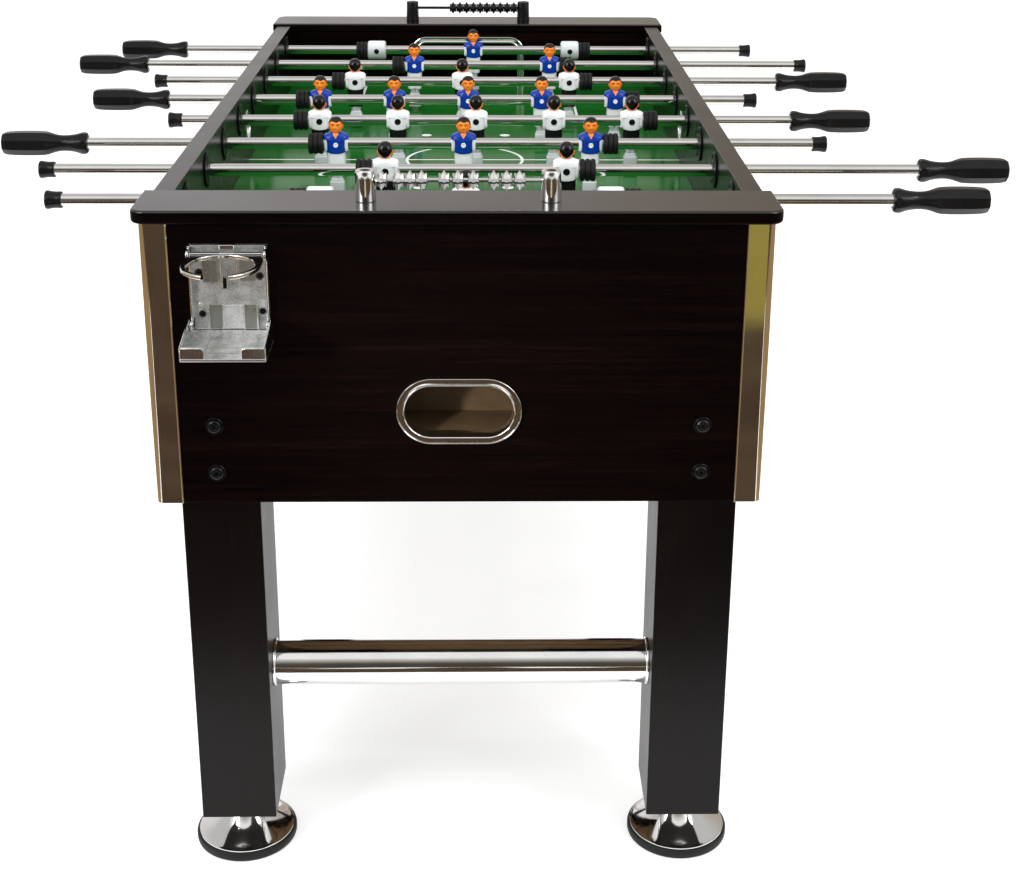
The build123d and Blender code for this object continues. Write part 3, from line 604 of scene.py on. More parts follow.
def swept(name, path, section, closed, place):
    """A moulding: a section (out, up) carried round a path of points and outward directions in X and Y."""
    shape = bmesh.new()
    rings = [
        [shape.verts.new((x + nx * out, y + ny * out, up)) for out, up in section]
        for (x, y), (nx, ny) in path
    ]
    count = len(section)
    for n in range(len(rings) if closed else len(rings) - 1):
        here, there = rings[n], rings[(n + 1) % len(rings)]
        for k in range(count):
            shape.faces.new((here[k], here[(k + 1) % count], there[(k + 1) % count], there[k]))
    if not closed:
        shape.faces.new(rings[0])
        shape.faces.new(rings[-1])
    bmesh.ops.recalc_face_normals(shape, faces=shape.faces[:])
    return meshed(name, shape, place)


def round_path(x, y, radius, start, stop, count):
    """Points round a circle with their outward directions."""
    return list(zip(arc(x, y, radius, start, stop, count), arc(0.0, 0.0, 1.0, start, stop, count)))


goal_path = (
    [((-GOAL_HALF, 0.0), (-1.0, 0.0))]
    + round_path(-GOAL_HALF + GOAL_ROUND, GOAL_TALL - GOAL_ROUND, GOAL_ROUND, 180, 90, 12)
    + round_path(GOAL_HALF - GOAL_ROUND, GOAL_TALL - GOAL_ROUND, GOAL_ROUND, 90, 0, 12)
    + [((GOAL_HALF, 0.0), (1.0, 0.0))]
)
hole_path = round_path(-RETURN_REACH, 0.0, RETURN_ROUND, 90, 270, 28)
hole_path += round_path(RETURN_REACH, 0.0, RETURN_ROUND, -90, 90, 28)
trim_chrome = chrome("chromed moulding", (0.83, 0.82, 0.80))
upright = Matrix.Rotation(math.pi / 2, 4, "X")
goal_foot = Matrix.Translation((0.0, GOAL_LINE, FIELD_TOP))
hole_stand = Matrix.Translation((0.0, -END_FACE, RETURN_HEIGHT)) @ upright
goal_frames = gathered("goal frames", [
    swept("goal frame", goal_path, GOAL_SECTION, False, turn @ goal_foot @ upright)
    for turn in (HALF_TURN, Matrix())
])
bezels = gathered("bezels", [
    swept("bezel", hole_path, BEZEL_SECTION, True, turn @ hole_stand) for turn in (Matrix(), HALF_TURN)
])
show("goal_mouth_frames", goal_frames, [trim_chrome], "cabinet", ["goal_frames"])
show("return_bezels", bezels, [trim_chrome], "cabinet", ["ball_return_bezels"])

# Serving ports
# Chromed eyelets pressed through the side panels and rolled over at both faces.
# Each is one turned ring, whose barrel lines the hole.
SERVE_HEIGHT, SIDE_INNER, SIDE_FACE = 0.825, 0.336, 0.361
EYELET_RIM = [
    (0.0224, 0.0), (0.0250, 0.0), (0.0250, -0.0006), (0.0244, -0.0014), (0.0232, -0.0019), (0.0218, -0.0020),
    (0.0207, -0.0014), (0.0200, -0.0002),
]
eyelet_loop = both_ways(EYELET_RIM, SIDE_FACE - SIDE_INNER)


def turned_loop(name, section, count, place):
    """A turned ring round Z whose section (radius, height) closes on itself."""
    return swept(name, round_path(0.0, 0.0, 0.0, 0, 360 - 360 / count, count - 1), section, True, place)


eyelets = gathered("eyelets", [
    turned_loop("eyelet", eyelet_loop, 64, along_x(low, 0.0, SERVE_HEIGHT))
    for low in (-SIDE_FACE, SIDE_INNER)
])
show("serving_eyelets", eyelets, [trim_chrome], "cabinet", ["serve_rings"])

# Corner guards
# Strips of chromed sheet bent round the cabinet's corners, from its foot to the end rails.
# The long edges of the sheet are rolled outward into a narrow lip.
GUARD_COVER, GUARD_SHEET, GUARD_LOW, GUARD_HIGH, GUARD_BEND = 0.032, 0.0015, 0.522, 0.870, 0.008
GUARD_EDGE, GUARD_GAP = 0.0003, 0.00004
GUARD_LIP = [(0.0, 0.0), (0.0004, 0.0007), (0.0012, 0.0010), (0.0020, 0.0007), (0.0026, 0.0)]  # back, rise


def guard_line(proud, lip):
    """The guard's line round the near left corner, this far outside the boards, between two lips."""
    x, y = -SIDE_FACE, -END_FACE
    bend = arc(x + GUARD_BEND, y + GUARD_BEND, GUARD_BEND + proud, 270, 180, 12)
    front_lip = [(x + GUARD_COVER - back, y - proud - rise) for back, rise in lip]
    side_lip = [(x - proud - rise, y + GUARD_COVER - back) for back, rise in reversed(lip)]
    return front_lip + bend + side_lip


guard_chrome = chrome("chromed sheet", (0.80, 0.78, 0.75))
guard_outline = guard_line(GUARD_SHEET, GUARD_LIP) + guard_line(GUARD_GAP, GUARD_LIP[:1])[::-1]
near_left_guard = slab_mesh("guard", guard_outline, GUARD_LOW, GUARD_HIGH, GUARD_EDGE, 2)
guards = []
for side, end in ((1, 1), (-1, 1), (1, -1), (-1, -1)):
    guard = near_left_guard.copy()
    guard.transform(Matrix.Diagonal((side, end, 1, 1)))
    if side * end < 0:
        guard.flip_normals()
    guards.append(guard)
bpy.data.meshes.remove(near_left_guard)
guard_mesh = gathered("guards", guards)
show("corner_guard_strips", guard_mesh, [guard_chrome], "cabinet", ["corner_guards"],
     flat_sides=True)

# Rod bearings
# Black moulded bushes pressed through the side panels: a wide flange inside with a raised lip round the rod,
# held by three screws, and a short collar outside.
ROD_PLACES = (0.539, 0.385, 0.231, 0.077, -0.077, -0.231, -0.385, -0.539)
ROD_HEIGHT, ROD_RADIUS, ROD_BORE = 0.851, 0.008, 0.00805
SCREW_CIRCLE, SCREW_SEAT = 0.0190, 0.0277
BUSH_SECTION = [
    (ROD_BORE, -0.0030), (0.0112, -0.0030), (0.0118, -0.0026), (0.0120, -0.0018), (0.0120, 0.0250),
    (0.0236, 0.0250), (0.0240, 0.0256), (0.0240, 0.0268), (0.0233, 0.0276), (0.0150, 0.0279),
    (0.0142, 0.0284), (0.0136, 0.0290), (0.0092, 0.0290), (0.0084, 0.0287), (ROD_BORE, 0.0280),
]
SCREW_PROFILE = [
    (0.0030, 0.0), (0.0030, 0.0004), (0.0026, 0.0009), (0.0018, 0.0011), (0.0010, 0.0011, 4, 0.8),
    (0.0009, 0.0004, 4, 0.8), (0.0, 0.0003),
]


def moulded(name, colour, low, high, grit, sheen):
    """Moulded plastic: even colour, with a fine spark-eroded skin and rubbed patches."""
    material, tree, shader = new_finish(name)
    rubbed = grain(tree, even(30.0), 4.0, 0.6)
    skin = grain(tree, even(grit), 2.0, 0.5)
    dim, bright = [c * 0.90 for c in colour], [min(c * 1.08, 0.9) for c in colour]
    feed(tree, shader, {
        "Base Color": ramp(tree, rubbed, [(0.3, dim), (0.7, bright)]),
        "Roughness": span(tree, rubbed, low, high),
        "Normal": bump(tree, skin, 0.08, 0.0002),
        "Specular IOR Level": sheen,
    })
    return material


black_plastic = moulded("black moulded plastic", (0.0050, 0.0050, 0.0055), 0.16, 0.28, 700.0, 0.24)
bushes = []
for y in ROD_PLACES:
    for turn, place in ((Matrix(), y), (HALF_TURN, -y)):
        stand = turn @ along_x(-SIDE_FACE, place, ROD_HEIGHT)
        bushes.append(turned_loop("bush", BUSH_SECTION, 48, stand))
        for across, up in arc(0.0, 0.0, SCREW_CIRCLE, 90, 330, 2):
            seat = Matrix.Translation((across, up, SCREW_SEAT))
            bushes.append(turned("bush screw", SCREW_PROFILE, 16, stand @ seat))
show("rod_bushes", gathered("bushes", bushes), [black_plastic], "cabinet", ["rod_bearings"])

# Playing rods
# Chromed steel tubes right across the cabinet, open at both ends under their grips.
# Each rod is a body that turns in a second body that slides.
ROD_WALL, ROD_EDGE = 0.002, 0.0005
rod_end = [(ROD_RADIUS - ROD_WALL, 0.0), (ROD_RADIUS - ROD_EDGE, 0.0), (ROD_RADIUS, ROD_EDGE)]
rod_chrome = chrome("chromed rod", (0.76, 0.75, 0.73), 0.02, 0.05)
for number, y in enumerate(ROD_PLACES, 1):
    low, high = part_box(f"rod{number}_tube")
    rod_section = both_ways(rod_end, high[0] - low[0])
    tube = turned_loop(f"rod {number}", rod_section, 48, along_x(low[0], y, ROD_HEIGHT))
    show(f"rod{number}_chrome_tube", tube, [rod_chrome], f"rod{number}", [f"rod{number}_tube"])

# Men
# Figures moulded in coloured plastic and clamped round the rod by a screw from the back and a nut in the
# chest: block feet, shorts, a shirt with arms at the sides, and a plain doll's head with bowl hair.
# The forms are drawn in millimetres from the rod's axis.
SHIRT, SHORTS, ARMS, SKIN, HAIR, FOOT, NUT, SCREW = range(8)  # the finishes of a man
FOOT_RINGS = [  # height from the rod's axis, half width, half depth, squareness
    (-73.0, 9.4, 7.4, 7.0), (-72.5, 10.2, 8.2, 7.0), (-71.4, 10.5, 8.5, 7.0), (-56.2, 10.1, 8.2, 7.0),
    (-54.6, 9.9, 8.0, 7.0), (-54.0, 9.2, 7.3, 6.0), (-53.6, 8.7, 6.8, 6.0), (-50.6, 8.4, 6.6, 6.0),
    (-49.7, 7.9, 6.1, 5.0), (-49.3, 6.6, 5.0, 4.0),
]
LEG_RINGS = [
    (-50.5, 6.9, 5.3, 2.6), (-46.0, 7.5, 5.9, 2.6), (-40.0, 8.9, 6.8, 2.7), (-36.0, 9.6, 7.2, 2.8),
]
SHORTS_RINGS = [
    (-40.6, 9.9, 7.2, 3.4), (-41.2, 10.9, 8.0, 3.4), (-40.6, 11.5, 8.4, 3.4), (-33.0, 12.2, 8.7, 3.3),
    (-24.0, 12.9, 9.0, 3.2), (-16.0, 12.9, 9.2, 3.0), (-7.0, 12.6, 9.2, 3.0),
]
SHIRT_RINGS = [
    (-9.6, 11.8, 8.6, 3.0), (-10.6, 13.0, 9.8, 3.1), (-10.2, 13.6, 10.4, 3.1), (-6.0, 13.9, 10.9, 3.1),
    (0.0, 14.2, 11.3, 3.0), (4.8, 14.5, 11.3, 3.0), (5.6, 15.2, 11.3, 3.1), (5.8, 17.0, 11.3, 3.2),
    (6.3, 17.7, 11.2, 3.2), (9.0, 17.7, 10.9, 3.0), (11.6, 17.3, 10.3, 2.9), (13.4, 16.1, 9.5, 2.7),
    (14.9, 13.2, 8.6, 2.4), (16.2, 9.4, 7.4, 2.2), (17.0, 6.8, 6.3, 2.1), (17.3, 5.4, 5.7, 2.0),
]
ARM_RINGS = [
    (-10.4, 1.2, 4.4, 2.4), (-9.8, 2.2, 6.8, 2.6), (-7.6, 2.9, 8.2, 2.9), (-2.0, 3.1, 9.2, 3.2),
    (7.0, 3.1, 9.6, 3.2),
]
NECK_RINGS = [(11.0, 5.6, 5.6, 2.0), (15.0, 5.4, 5.6, 2.0), (18.0, 5.3, 5.8, 2.0), (20.0, 5.6, 6.2, 2.0)]
HEAD_HEIGHT, HEAD_WIDE, HEAD_DEEP, HEAD_TALL, HEAD_POWER = 26.0, 9.2, 9.7, 11.8, 2.4
HAIR_ROWS = [(1.0, -0.8), (1.0, 0.35), (0.985, 0.65)]  # share of the way down to the hairline, swell
HAIR_ROWS += [(0.96 - 0.9 * n / 11, 0.75) for n in range(12)]
EAR_OUT, EAR_BACK, EAR_DROP = 9.15, 1.4, 1.6
EAR_RINGS = [  # how far out, half height, half depth
    (-1.2, 2.6, 1.5), (0.1, 3.0, 1.9), (0.9, 2.8, 1.8), (1.3, 2.2, 1.3), (1.0, 1.3, 0.7),
]
# Dark brows and eyes in the hair plastic: partly the doll's painted features, partly painted shade of the
# brow and eye hollows.
FEATURE_AND_SHADE_MARKS = [  # middle of a brow and an eye, half length, half height, arch
    ((3.7, 2.6), 2.3, 0.50, 0.7), ((3.5, 0.6), 1.1, 0.42, 0.2),
]
COLLAR_LOW, COLLAR_HIGH, COLLAR_TIP, COLLAR_HALF = 8.2, 16.4, 0.25, 4.6
SHOULDER_X = 14.5
MEN_ON_ROD = (1, 2, 3, 5, 5, 3, 2, 1)
MEN_PITCH = {1: 0.0, 2: 0.239, 3: 0.1795, 5: 0.117}
BLOCK_OFFSET, BLOCK_HALF, BLOCK_SCREW = 0.179, 0.0165, 0.0171
REST_SLIDE = (0.011, 0.027, -0.006, 0.005, 0.018, 0.001, 0.019, 0.007)
BLUE_RODS = (1, 2, 4, 6)
NUT_PROFILE = [
    (0.0038, -0.0012, 6, 1.0), (0.0038, 0.0008, 6, 1.0), (0.0034, 0.0012, 6, 0.8), (0.0020, 0.0013),
    (0.0016, 0.0007), (0.0, 0.0006),
]
SCREW_HEAD = [
    (0.0046, -0.0015), (0.0046, 0.0003), (0.0042, 0.0007), (0.0036, 0.0007), (0.0034, 0.0002),
    (0.0026, 0.0002), (0.0024, 0.0006), (0.0012, 0.0007, 4, 0.9), (0.0010, 0.0002, 4, 0.9), (0.0, 0.0002),
]


def smooth_rings(rings, steps):
    """More rings between the given ones, on a smooth curve through them."""
    filled = []
    for n in range(len(rings) - 1):
        before, here = rings[max(n - 1, 0)], rings[n]
        there, after = rings[n + 1], rings[min(n + 2, len(rings) - 1)]
        for k in range(steps):
            t = k / steps
            filled.append([
                b + 0.5 * t * ((c - a) + t * (2 * a - 5 * b + 4 * c - d + t * (3 * (b - c) + d - a)))
                for a, b, c, d in zip(before, here, there, after)
            ])
    filled.append(list(rings[-1]))
    return filled


def squared(turn, wide, deep, power):
    """A point on a squared oval."""
    c, s = math.cos(turn), math.sin(turn)
    return (
        math.copysign(wide * abs(c) ** (2 / power), c),
        math.copysign(deep * abs(s) ** (2 / power), s),
    )


def drawn(shape, rows):
    """A shape's new points, from rows of places in millimetres."""
    return [[shape.verts.new([c / 1000 for c in point]) for point in row] for row in rows]


def walled(shape, loops):
    """Faces all round between each loop of points and the next."""
    return [
        shape.faces.new((low[n - 1], low[n], high[n], high[n - 1]))
        for low, high in zip(loops, loops[1:])
        for n in range(len(low))
    ]


def skinned(shape, rows, finish):
    """Faces over rows of points, with both ends closed, in one finish."""
    loops = drawn(shape, rows)
    made = walled(shape, loops)
    made += [shape.faces.new(loops[0][::-1]), shape.faces.new(loops[-1])]
    for face in made:
        face.material_index = finish


def bodied(shape, rings, finish, centre=0.0, count=32, steps=2, shaping=None):
    """A moulded form through rings, shaped further point by point if a shaping is given."""
    rows = []
    for height, wide, deep, power in smooth_rings(rings, steps):
        row = []
        for turn in round_turns(count):
            x, y, z = (*squared(turn, wide, deep, power), height)
            if shaping:
                x, y, z = shaping(x, y, z, wide, deep)
            row.append((x + centre, y, z))
        rows.append(row)
    skinned(shape, rows, finish)


def hill(value, middle, spread):
    """A soft rise that is 1 at its middle."""
    return math.exp(-(((value - middle) / spread) ** 2))


def leg_shaping(x, y, z, wide, deep):
    """The groove between the legs."""
    return x, y * (1 - 0.42 * hill(x, 0, 1.5)), z


def shorts_shaping(x, y, z, wide, deep):
    """A shallower groove that fades out upwards, over a hem that lifts in the middle."""
    low = min(max((-24 - z) / 17, 0.0), 1.0)
    return x, y * (1 - 0.16 * low * hill(x, 0, 1.4)), z + 1.1 * low * hill(x, 0, 2.0)


def shirt_shaping(x, y, z, wide, deep):
    """A hem that hangs lower in the middle, soft folds above it, and a chest under the collar."""
    low = min(max((2 - z) / 12.6, 0.0), 1.0)
    drop = 2.2 * low * low * (1 - min(abs(x) / wide, 1.0) ** 2)
    fold = 0.35 * low * math.sin(x * 1.1 + 0.6) * abs(y) / deep
    chest = 0.55 * hill(z, 6.0, 4.5) * (hill(x, 5.5, 3.6) + hill(x, -5.5, 3.6)) if y < 0 else 0.0
    return x, y + math.copysign(fold + chest, y), z - drop


def head_point(turn, tilt, swell=0.0):
    """A point of the head: turn is 0 at the face, tilt is 0 at the crown."""
    side, front, up = math.sin(tilt) * math.sin(turn), -math.sin(tilt) * math.cos(turn), math.cos(tilt)
    shares = (side / HEAD_WIDE, front / HEAD_DEEP, up / HEAD_TALL)
    reach = sum(abs(share) ** HEAD_POWER for share in shares) ** (-1 / HEAD_POWER)
    x, y, z = (reach + swell) * side, (reach + swell) * front, (reach + swell) * up
    jaw = min(max(-z / HEAD_TALL, 0.0), 1.0)
    x *= 1 - 0.12 * jaw * jaw
    return x, y, z


def features(x, z):
    """How far a doll's plain features stand out of the head: brows, eye hollows, nose, mouth and chin."""
    out = 0.75 * hill(z, 3.2, 1.3) * (hill(x, 3.8, 2.6) + hill(x, -3.8, 2.6))
    out -= 0.95 * hill(z, 0.9, 1.2) * (hill(x, 3.6, 1.9) + hill(x, -3.6, 1.9))
    out += 0.40 * hill(z, 0.7, 0.7) * (hill(x, 3.5, 1.0) + hill(x, -3.5, 1.0))
    out += 1.9 * hill(x, 0, 1.35) * hill(z, -2.2, 2.0) + 0.7 * hill(x, 0, 1.1) * hill(z, 1.2, 2.2)
    out += 0.5 * hill(z, -2.9, 0.9) * (hill(x, 1.6, 0.8) + hill(x, -1.6, 0.8))
    out -= 0.70 * hill(z, -5.6, 0.55) * hill(x, 0, 2.9)
    out += 0.45 * (hill(z, -4.7, 0.6) + hill(z, -6.6, 0.7)) * hill(x, 0, 2.4)
    return out + 0.75 * hill(z, -9.0, 1.5) * hill(x, 0, 2.6)


def face_point(turn, tilt):
    """The head with its plain features."""
    x, y, z = head_point(turn, tilt)
    if math.cos(turn) > 0 and y < 0:
        y -= features(x, z)
    return x, y, z + HEAD_HEIGHT


def feature_and_shade_mark(shape, side, middle, half, tall, arch):
    """A dark brow or eye, part painted feature and part painted shade of its hollow: a low oval bead across
    the face.
    """
    rows = []
    for n in range(9):
        along = -1 + n / 4
        x = side * (middle[0] + half * along)
        z = middle[1] + arch * (1 - along * along)
        inside = 1 - (abs(x) / HEAD_WIDE) ** HEAD_POWER - (abs(z) / HEAD_TALL) ** HEAD_POWER
        y = -HEAD_DEEP * max(inside, 0.0) ** (1 / HEAD_POWER) - features(x, z)
        thick = math.sqrt(1.06 - along * along)
        rows.append([
            (x, y + 0.05 - 0.32 * thick * math.sin(t), z + HEAD_HEIGHT + tall * thick * math.cos(t))
            for t in round_turns(8)
        ])
    skinned(shape, rows, HAIR)


def hairline(turn):
    """How far down from the crown the hair comes, all round the head: fringe, temples, nape."""
    back = (1 - math.cos(turn)) / 2
    fringe = 54 + 3 * math.sin(5 * turn + 0.7) * (1 - back)
    temples = 28 * min(max((back - 0.2) / 0.25, 0.0), 1.0)
    nape = 52 * max((back - 0.5) / 0.5, 0.0) ** 2.2
    return math.radians(fringe + temples + nape)


def front_turns():
    """Turns round the head, closer together at the face."""
    return [turn - 0.42 * math.sin(turn) for turn in round_turns(48)]


def surface_depth(rings, x, z):
    """How far out a ringed form's front lies at a place."""
    for low, high in zip(rings, rings[1:]):
        if low[0] <= z <= high[0]:
            t = (z - low[0]) / (high[0] - low[0])
            wide, deep, power = [a + t * (b - a) for a, b in zip(low[1:], high[1:])]
            return -deep * max(1 - abs(x / wide) ** power, 0.0) ** (1 / power)
    return 0.0


def head(shape):
    """The head with its face, bowl hair, ears, and dark brows and eyes that are partly painted shade."""
    tilts = [math.pi * (0.02 + 0.96 * n / 33) for n in range(34)]
    skinned(shape, [[face_point(turn, tilt) for turn in front_turns()] for tilt in tilts[::-1]], SKIN)
    hair = []
    for share, swell in HAIR_ROWS:
        row = []
        for turn in front_turns():
            x, y, z = head_point(turn, share * hairline(turn), swell + 0.16 * math.sin(17 * turn) * share)
            row.append((x, y, z + HEAD_HEIGHT))
        hair.append(row)
    skinned(shape, hair, HAIR)
    for side in (-1, 1):
        ear = []
        for out, tall, deep in EAR_RINGS:
            x, z = side * (EAR_OUT + out), HEAD_HEIGHT - EAR_DROP
            ring = [(x, EAR_BACK + deep * math.cos(t), z + tall * math.sin(t)) for t in round_turns(16)]
            ear.append(ring if side < 0 else ring[::-1])
        skinned(shape, ear, SKIN)
    for side in (-1, 1):
        for mark in FEATURE_AND_SHADE_MARKS:
            feature_and_shade_mark(shape, side, *mark)


def collar(shape):
    """The open neck: skin laid on the shirt's front, with a rolled edge down each side."""
    grid = []
    for n in range(9):
        z = COLLAR_LOW + n / 8 * (COLLAR_HIGH - COLLAR_LOW)
        half = COLLAR_TIP + n / 8 * COLLAR_HALF
        across = [half * k / 5 for k in range(-5, 6)]
        grid.append([(x, surface_depth(SHIRT_RINGS, x, z) - 0.55, z) for x in across])
    knots = drawn(shape, grid)
    for low, high in zip(knots, knots[1:]):
        for corners in zip(low, low[1:], high[1:], high):
            shape.faces.new(corners).material_index = SKIN
    for side in (0, -1):
        skinned(shape, [
            [
                (x + 0.62 * math.cos(t), y + 0.1 - 0.55 * math.sin(t), z + 0.2 * math.sin(t))
                for t in round_turns(8)
            ]
            for x, y, z in [row[side] for row in grid]
        ], SHIRT)


def finished(mesh, finish):
    """Gives a whole mesh one of its piece's finishes."""
    for face in mesh.polygons:
        face.material_index = finish
    return mesh


def figure(name):
    """One man, facing -Y, standing round the origin."""
    shape = bmesh.new()
    bodied(shape, FOOT_RINGS, FOOT, steps=1, count=40)
    bodied(shape, LEG_RINGS, FOOT, shaping=leg_shaping)
    bodied(shape, SHORTS_RINGS, SHORTS, shaping=shorts_shaping, count=40)
    bodied(shape, SHIRT_RINGS, SHIRT, shaping=shirt_shaping, count=48)
    bodied(shape, NECK_RINGS, SKIN, count=24)
    for side in (-1, 1):
        bodied(shape, ARM_RINGS, ARMS, side * SHOULDER_X, count=24)
    head(shape)
    collar(shape)
    bmesh.ops.recalc_face_normals(shape, faces=shape.faces[:])
    chest = 0.0002 - surface_depth(SHIRT_RINGS, 0.0, 0.0) / 1000
    nut = turned("nut", NUT_PROFILE, 24, facing_end(0.0, -1, 0.0, chest))
    screw = turned("screw", SCREW_HEAD, 24, facing_end(0.0, 1, 0.0, chest))
    return gathered(name, [meshed(name, shape), finished(nut, NUT), finished(screw, SCREW)])


BLOCK_SECTION = both_ways([
    (ROD_BORE, -BLOCK_HALF), (0.0140, -BLOCK_HALF), (0.0156, -BLOCK_HALF + 0.0006),
    (0.0166, -BLOCK_HALF + 0.0022), (0.0170, -BLOCK_HALF + 0.0046),
], 0.0)


def goal_block(name):
    """A barrel with its clamping screw, in the foot's pale plastic."""
    barrel = turned_loop(name, BLOCK_SECTION, 48, Matrix.Rotation(math.pi / 2, 4, "Y"))
    screw = turned("screw", SCREW_HEAD, 24, facing_end(0.0, -1, 0.0, BLOCK_SCREW))
    return gathered(name, [finished(barrel, FOOT), finished(screw, SCREW)])


def figure_plastic(name, colour, low, high, sheen=0.5):
    """The smooth plastic of the figures."""
    return moulded(name, colour, low, high, 500.0, sheen)


skin_plastic = figure_plastic("skin plastic", (0.960, 0.235, 0.022), 0.18, 0.30, 0.32)
hair_plastic = figure_plastic("black hair plastic", (0.003, 0.003, 0.0035), 0.08, 0.14, 0.42)
foot_plastic = figure_plastic("pale foot plastic", (0.540, 0.570, 0.580), 0.28, 0.42)
white_plastic = figure_plastic("white shirt plastic", (0.780, 0.790, 0.810), 0.22, 0.34)
blue_plastic = figure_plastic("blue shirt plastic", (0.002, 0.036, 0.300), 0.16, 0.28, 0.30)
shorts_black = figure_plastic("black shorts plastic", (0.005, 0.005, 0.006), 0.20, 0.34, 0.25)
nut_steel = figure_plastic("bright zinc nut", (0.78, 0.78, 0.76), 0.14, 0.24)
blue_team = [blue_plastic, white_plastic, white_plastic]
white_team = [white_plastic, shorts_black, white_plastic]
both_teams = [skin_plastic, hair_plastic, foot_plastic, nut_steel, shorts_black]
for number, y in enumerate(ROD_PLACES, 1):
    men = MEN_ON_ROD[number - 1]
    is_blue = number in BLUE_RODS
    middle = Matrix.Translation((REST_SLIDE[number - 1], y, ROD_HEIGHT))
    facing = Matrix() if is_blue else HALF_TURN
    figures = []
    for n in range(men):
        man = figure("man")
        man.transform(middle @ Matrix.Translation(((n - (men - 1) / 2) * MEN_PITCH[men], 0, 0)) @ facing)
        figures.append(man)
    if men == 1:
        for side in (-1, 1):
            block = goal_block("block")
            block.transform(middle @ Matrix.Translation((side * BLOCK_OFFSET, 0, 0)))
            figures.append(block)
    finishes = (blue_team if is_blue else white_team) + both_teams
    slot = "blue_team" if is_blue else "white_team"
    mesh = gathered("figures", figures)
    show(f"rod{number}_figures", mesh, finishes, f"rod{number}", [f"rod{number}_men"], crease=42.0)

# Grips
# Black moulded handles pushed on each rod's playing end: an eight-sided grip, a waist for the fingers and a
# flared collar. The plain end of each rod has a short flared cap.
HANDLE_PROFILE = [
    (0.0083, 0.0), (0.0126, 0.0), (0.0147, 0.0010, 8, 0.5), (0.0156, 0.0032, 8, 0.7),
    (0.0157, 0.0074, 8, 0.7), (0.0149, 0.0104, 8, 0.6), (0.0131, 0.0158, 8, 0.3), (0.0119, 0.0215),
    (0.0112, 0.0280), (0.0111, 0.0340), (0.0115, 0.0395), (0.0127, 0.0450, 8, 0.2),
    (0.0146, 0.0505, 8, 0.6), (0.0162, 0.0550, 8, 0.9), (0.0170, 0.0600, 8, 1.0), (0.0175, 0.0700, 8, 1.0),
    (0.0176, 0.0850, 8, 1.0), (0.0173, 0.1000, 8, 1.0), (0.0167, 0.1100, 8, 1.0), (0.0158, 0.1150, 8, 1.0),
    (0.0143, 0.1178, 8, 0.9), (0.0120, 0.1189, 8, 0.7), (0.0060, 0.1187), (0.0050, 0.1178), (0.0, 0.1176),
]
CAP_PROFILE = [
    (0.0083, 0.0), (0.0098, 0.0), (0.0104, 0.0006), (0.0105, 0.0030), (0.0103, 0.0050), (0.0104, 0.0090),
    (0.0108, 0.0130), (0.0115, 0.0160), (0.0117, 0.0178), (0.0113, 0.0192), (0.0102, 0.0199),
    (0.0070, 0.0200), (0.0064, 0.0196), (0.0, 0.0194),
]
for number, y in enumerate(ROD_PLACES, 1):
    low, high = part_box(f"rod{number}_grips")
    handle_side = -1 if number in BLUE_RODS else 1
    ends = {-1: low[0], 1: high[0]}
    grips = []
    for side, profile in ((handle_side, HANDLE_PROFILE), (-handle_side, CAP_PROFILE)):
        length = max(point[1] for point in profile)
        start = ends[side] - side * length
        outward = Matrix.Translation((start, y, ROD_HEIGHT)) @ Matrix.Rotation(side * math.pi / 2, 4, "Y")
        grips.append(turned("grip", profile, 64, outward @ Matrix.Rotation(math.pi / 8, 4, "Z")))
    mesh = gathered("grips", grips)
    name = f"rod{number}_handle_and_cap"
    show(name, mesh, [black_plastic], f"rod{number}", [f"rod{number}_grips"])

# Bumpers
# Rubber sleeves outside the last men, moulded as three fat rings.
# They slide with the rod but don't turn with it.
BUMPER_LENGTH, BUMPER_BORE, BUMPER_ROOT, RING_RISE, RING_REACH = 0.021, 0.00806, 0.0121, 0.0029, 0.00335
bumper_rubber = rubber("rubber of the bumpers", (0.0045, 0.0045, 0.0048))
bumper_section = [(BUMPER_BORE, BUMPER_LENGTH), (BUMPER_BORE, 0.0)]
for ring in range(3):
    middle = BUMPER_LENGTH * (ring + 0.5) / 3
    for turn in [math.pi * (n / 8) for n in range(9)]:
        radius = BUMPER_ROOT + RING_RISE * math.sin(turn) ** 0.6
        bumper_section.append((radius, middle - RING_REACH * math.cos(turn)))
for number, y in enumerate(ROD_PLACES, 1):
    low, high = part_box(f"rod{number}_bumpers")
    sleeves = [
        turned_loop("bumper", bumper_section, 48, along_x(start, y, ROD_HEIGHT))
        for start in (low[0], high[0] - BUMPER_LENGTH)
    ]
    body = f"rod{number}_bumpers"
    mesh = gathered("bumpers", sleeves)
    show(f"rod{number}_bumper_rings", mesh, [bumper_rubber], body, [body])

# Score counters
# A spindle between two turned posts on each end rail, screwed down from the top, with star beads that slide
# along it. The near one is chromed with silver beads, the far one is black plastic.
POST_X, SCORER_Y, SPINDLE_Z = 0.1065, 0.6715, 0.910
POST_PROFILE = [
    (0.0119, 0.0), (0.0121, 0.0003), (0.0121, 0.0012), (0.0118, 0.0090), (0.0114, 0.0220), (0.0111, 0.0344),
    (0.0109, 0.0354), (0.0104, 0.0359), (0.0098, 0.0360), (0.0064, 0.0360), (0.0061, 0.0357),
    (0.0060, 0.0350), (0.0, 0.0350),
]
POST_SCREW = [
    (0.0057, 0.0346), (0.0057, 0.0356), (0.0052, 0.0361), (0.0036, 0.0364), (0.0018, 0.0365, 4, 0.9),
    (0.0014, 0.0352, 4, 0.9), (0.0, 0.0352),
]
SPINDLE_RADIUS, SPINDLE_INSET = 0.0025, 0.010
BEAD_HALF, BEAD_POINTS, BEAD_BORE, BEAD_CREASE = 0.0063, 6, 0.00258, 8.0
BEAD_STATIONS = [  # distance from the middle, point radius, root radius
    (-1.0, 0.0066, 0.0054), (-0.86, 0.0088, 0.0060), (-0.52, 0.0072, 0.0058), (-0.02, 0.0120, 0.0068),
]
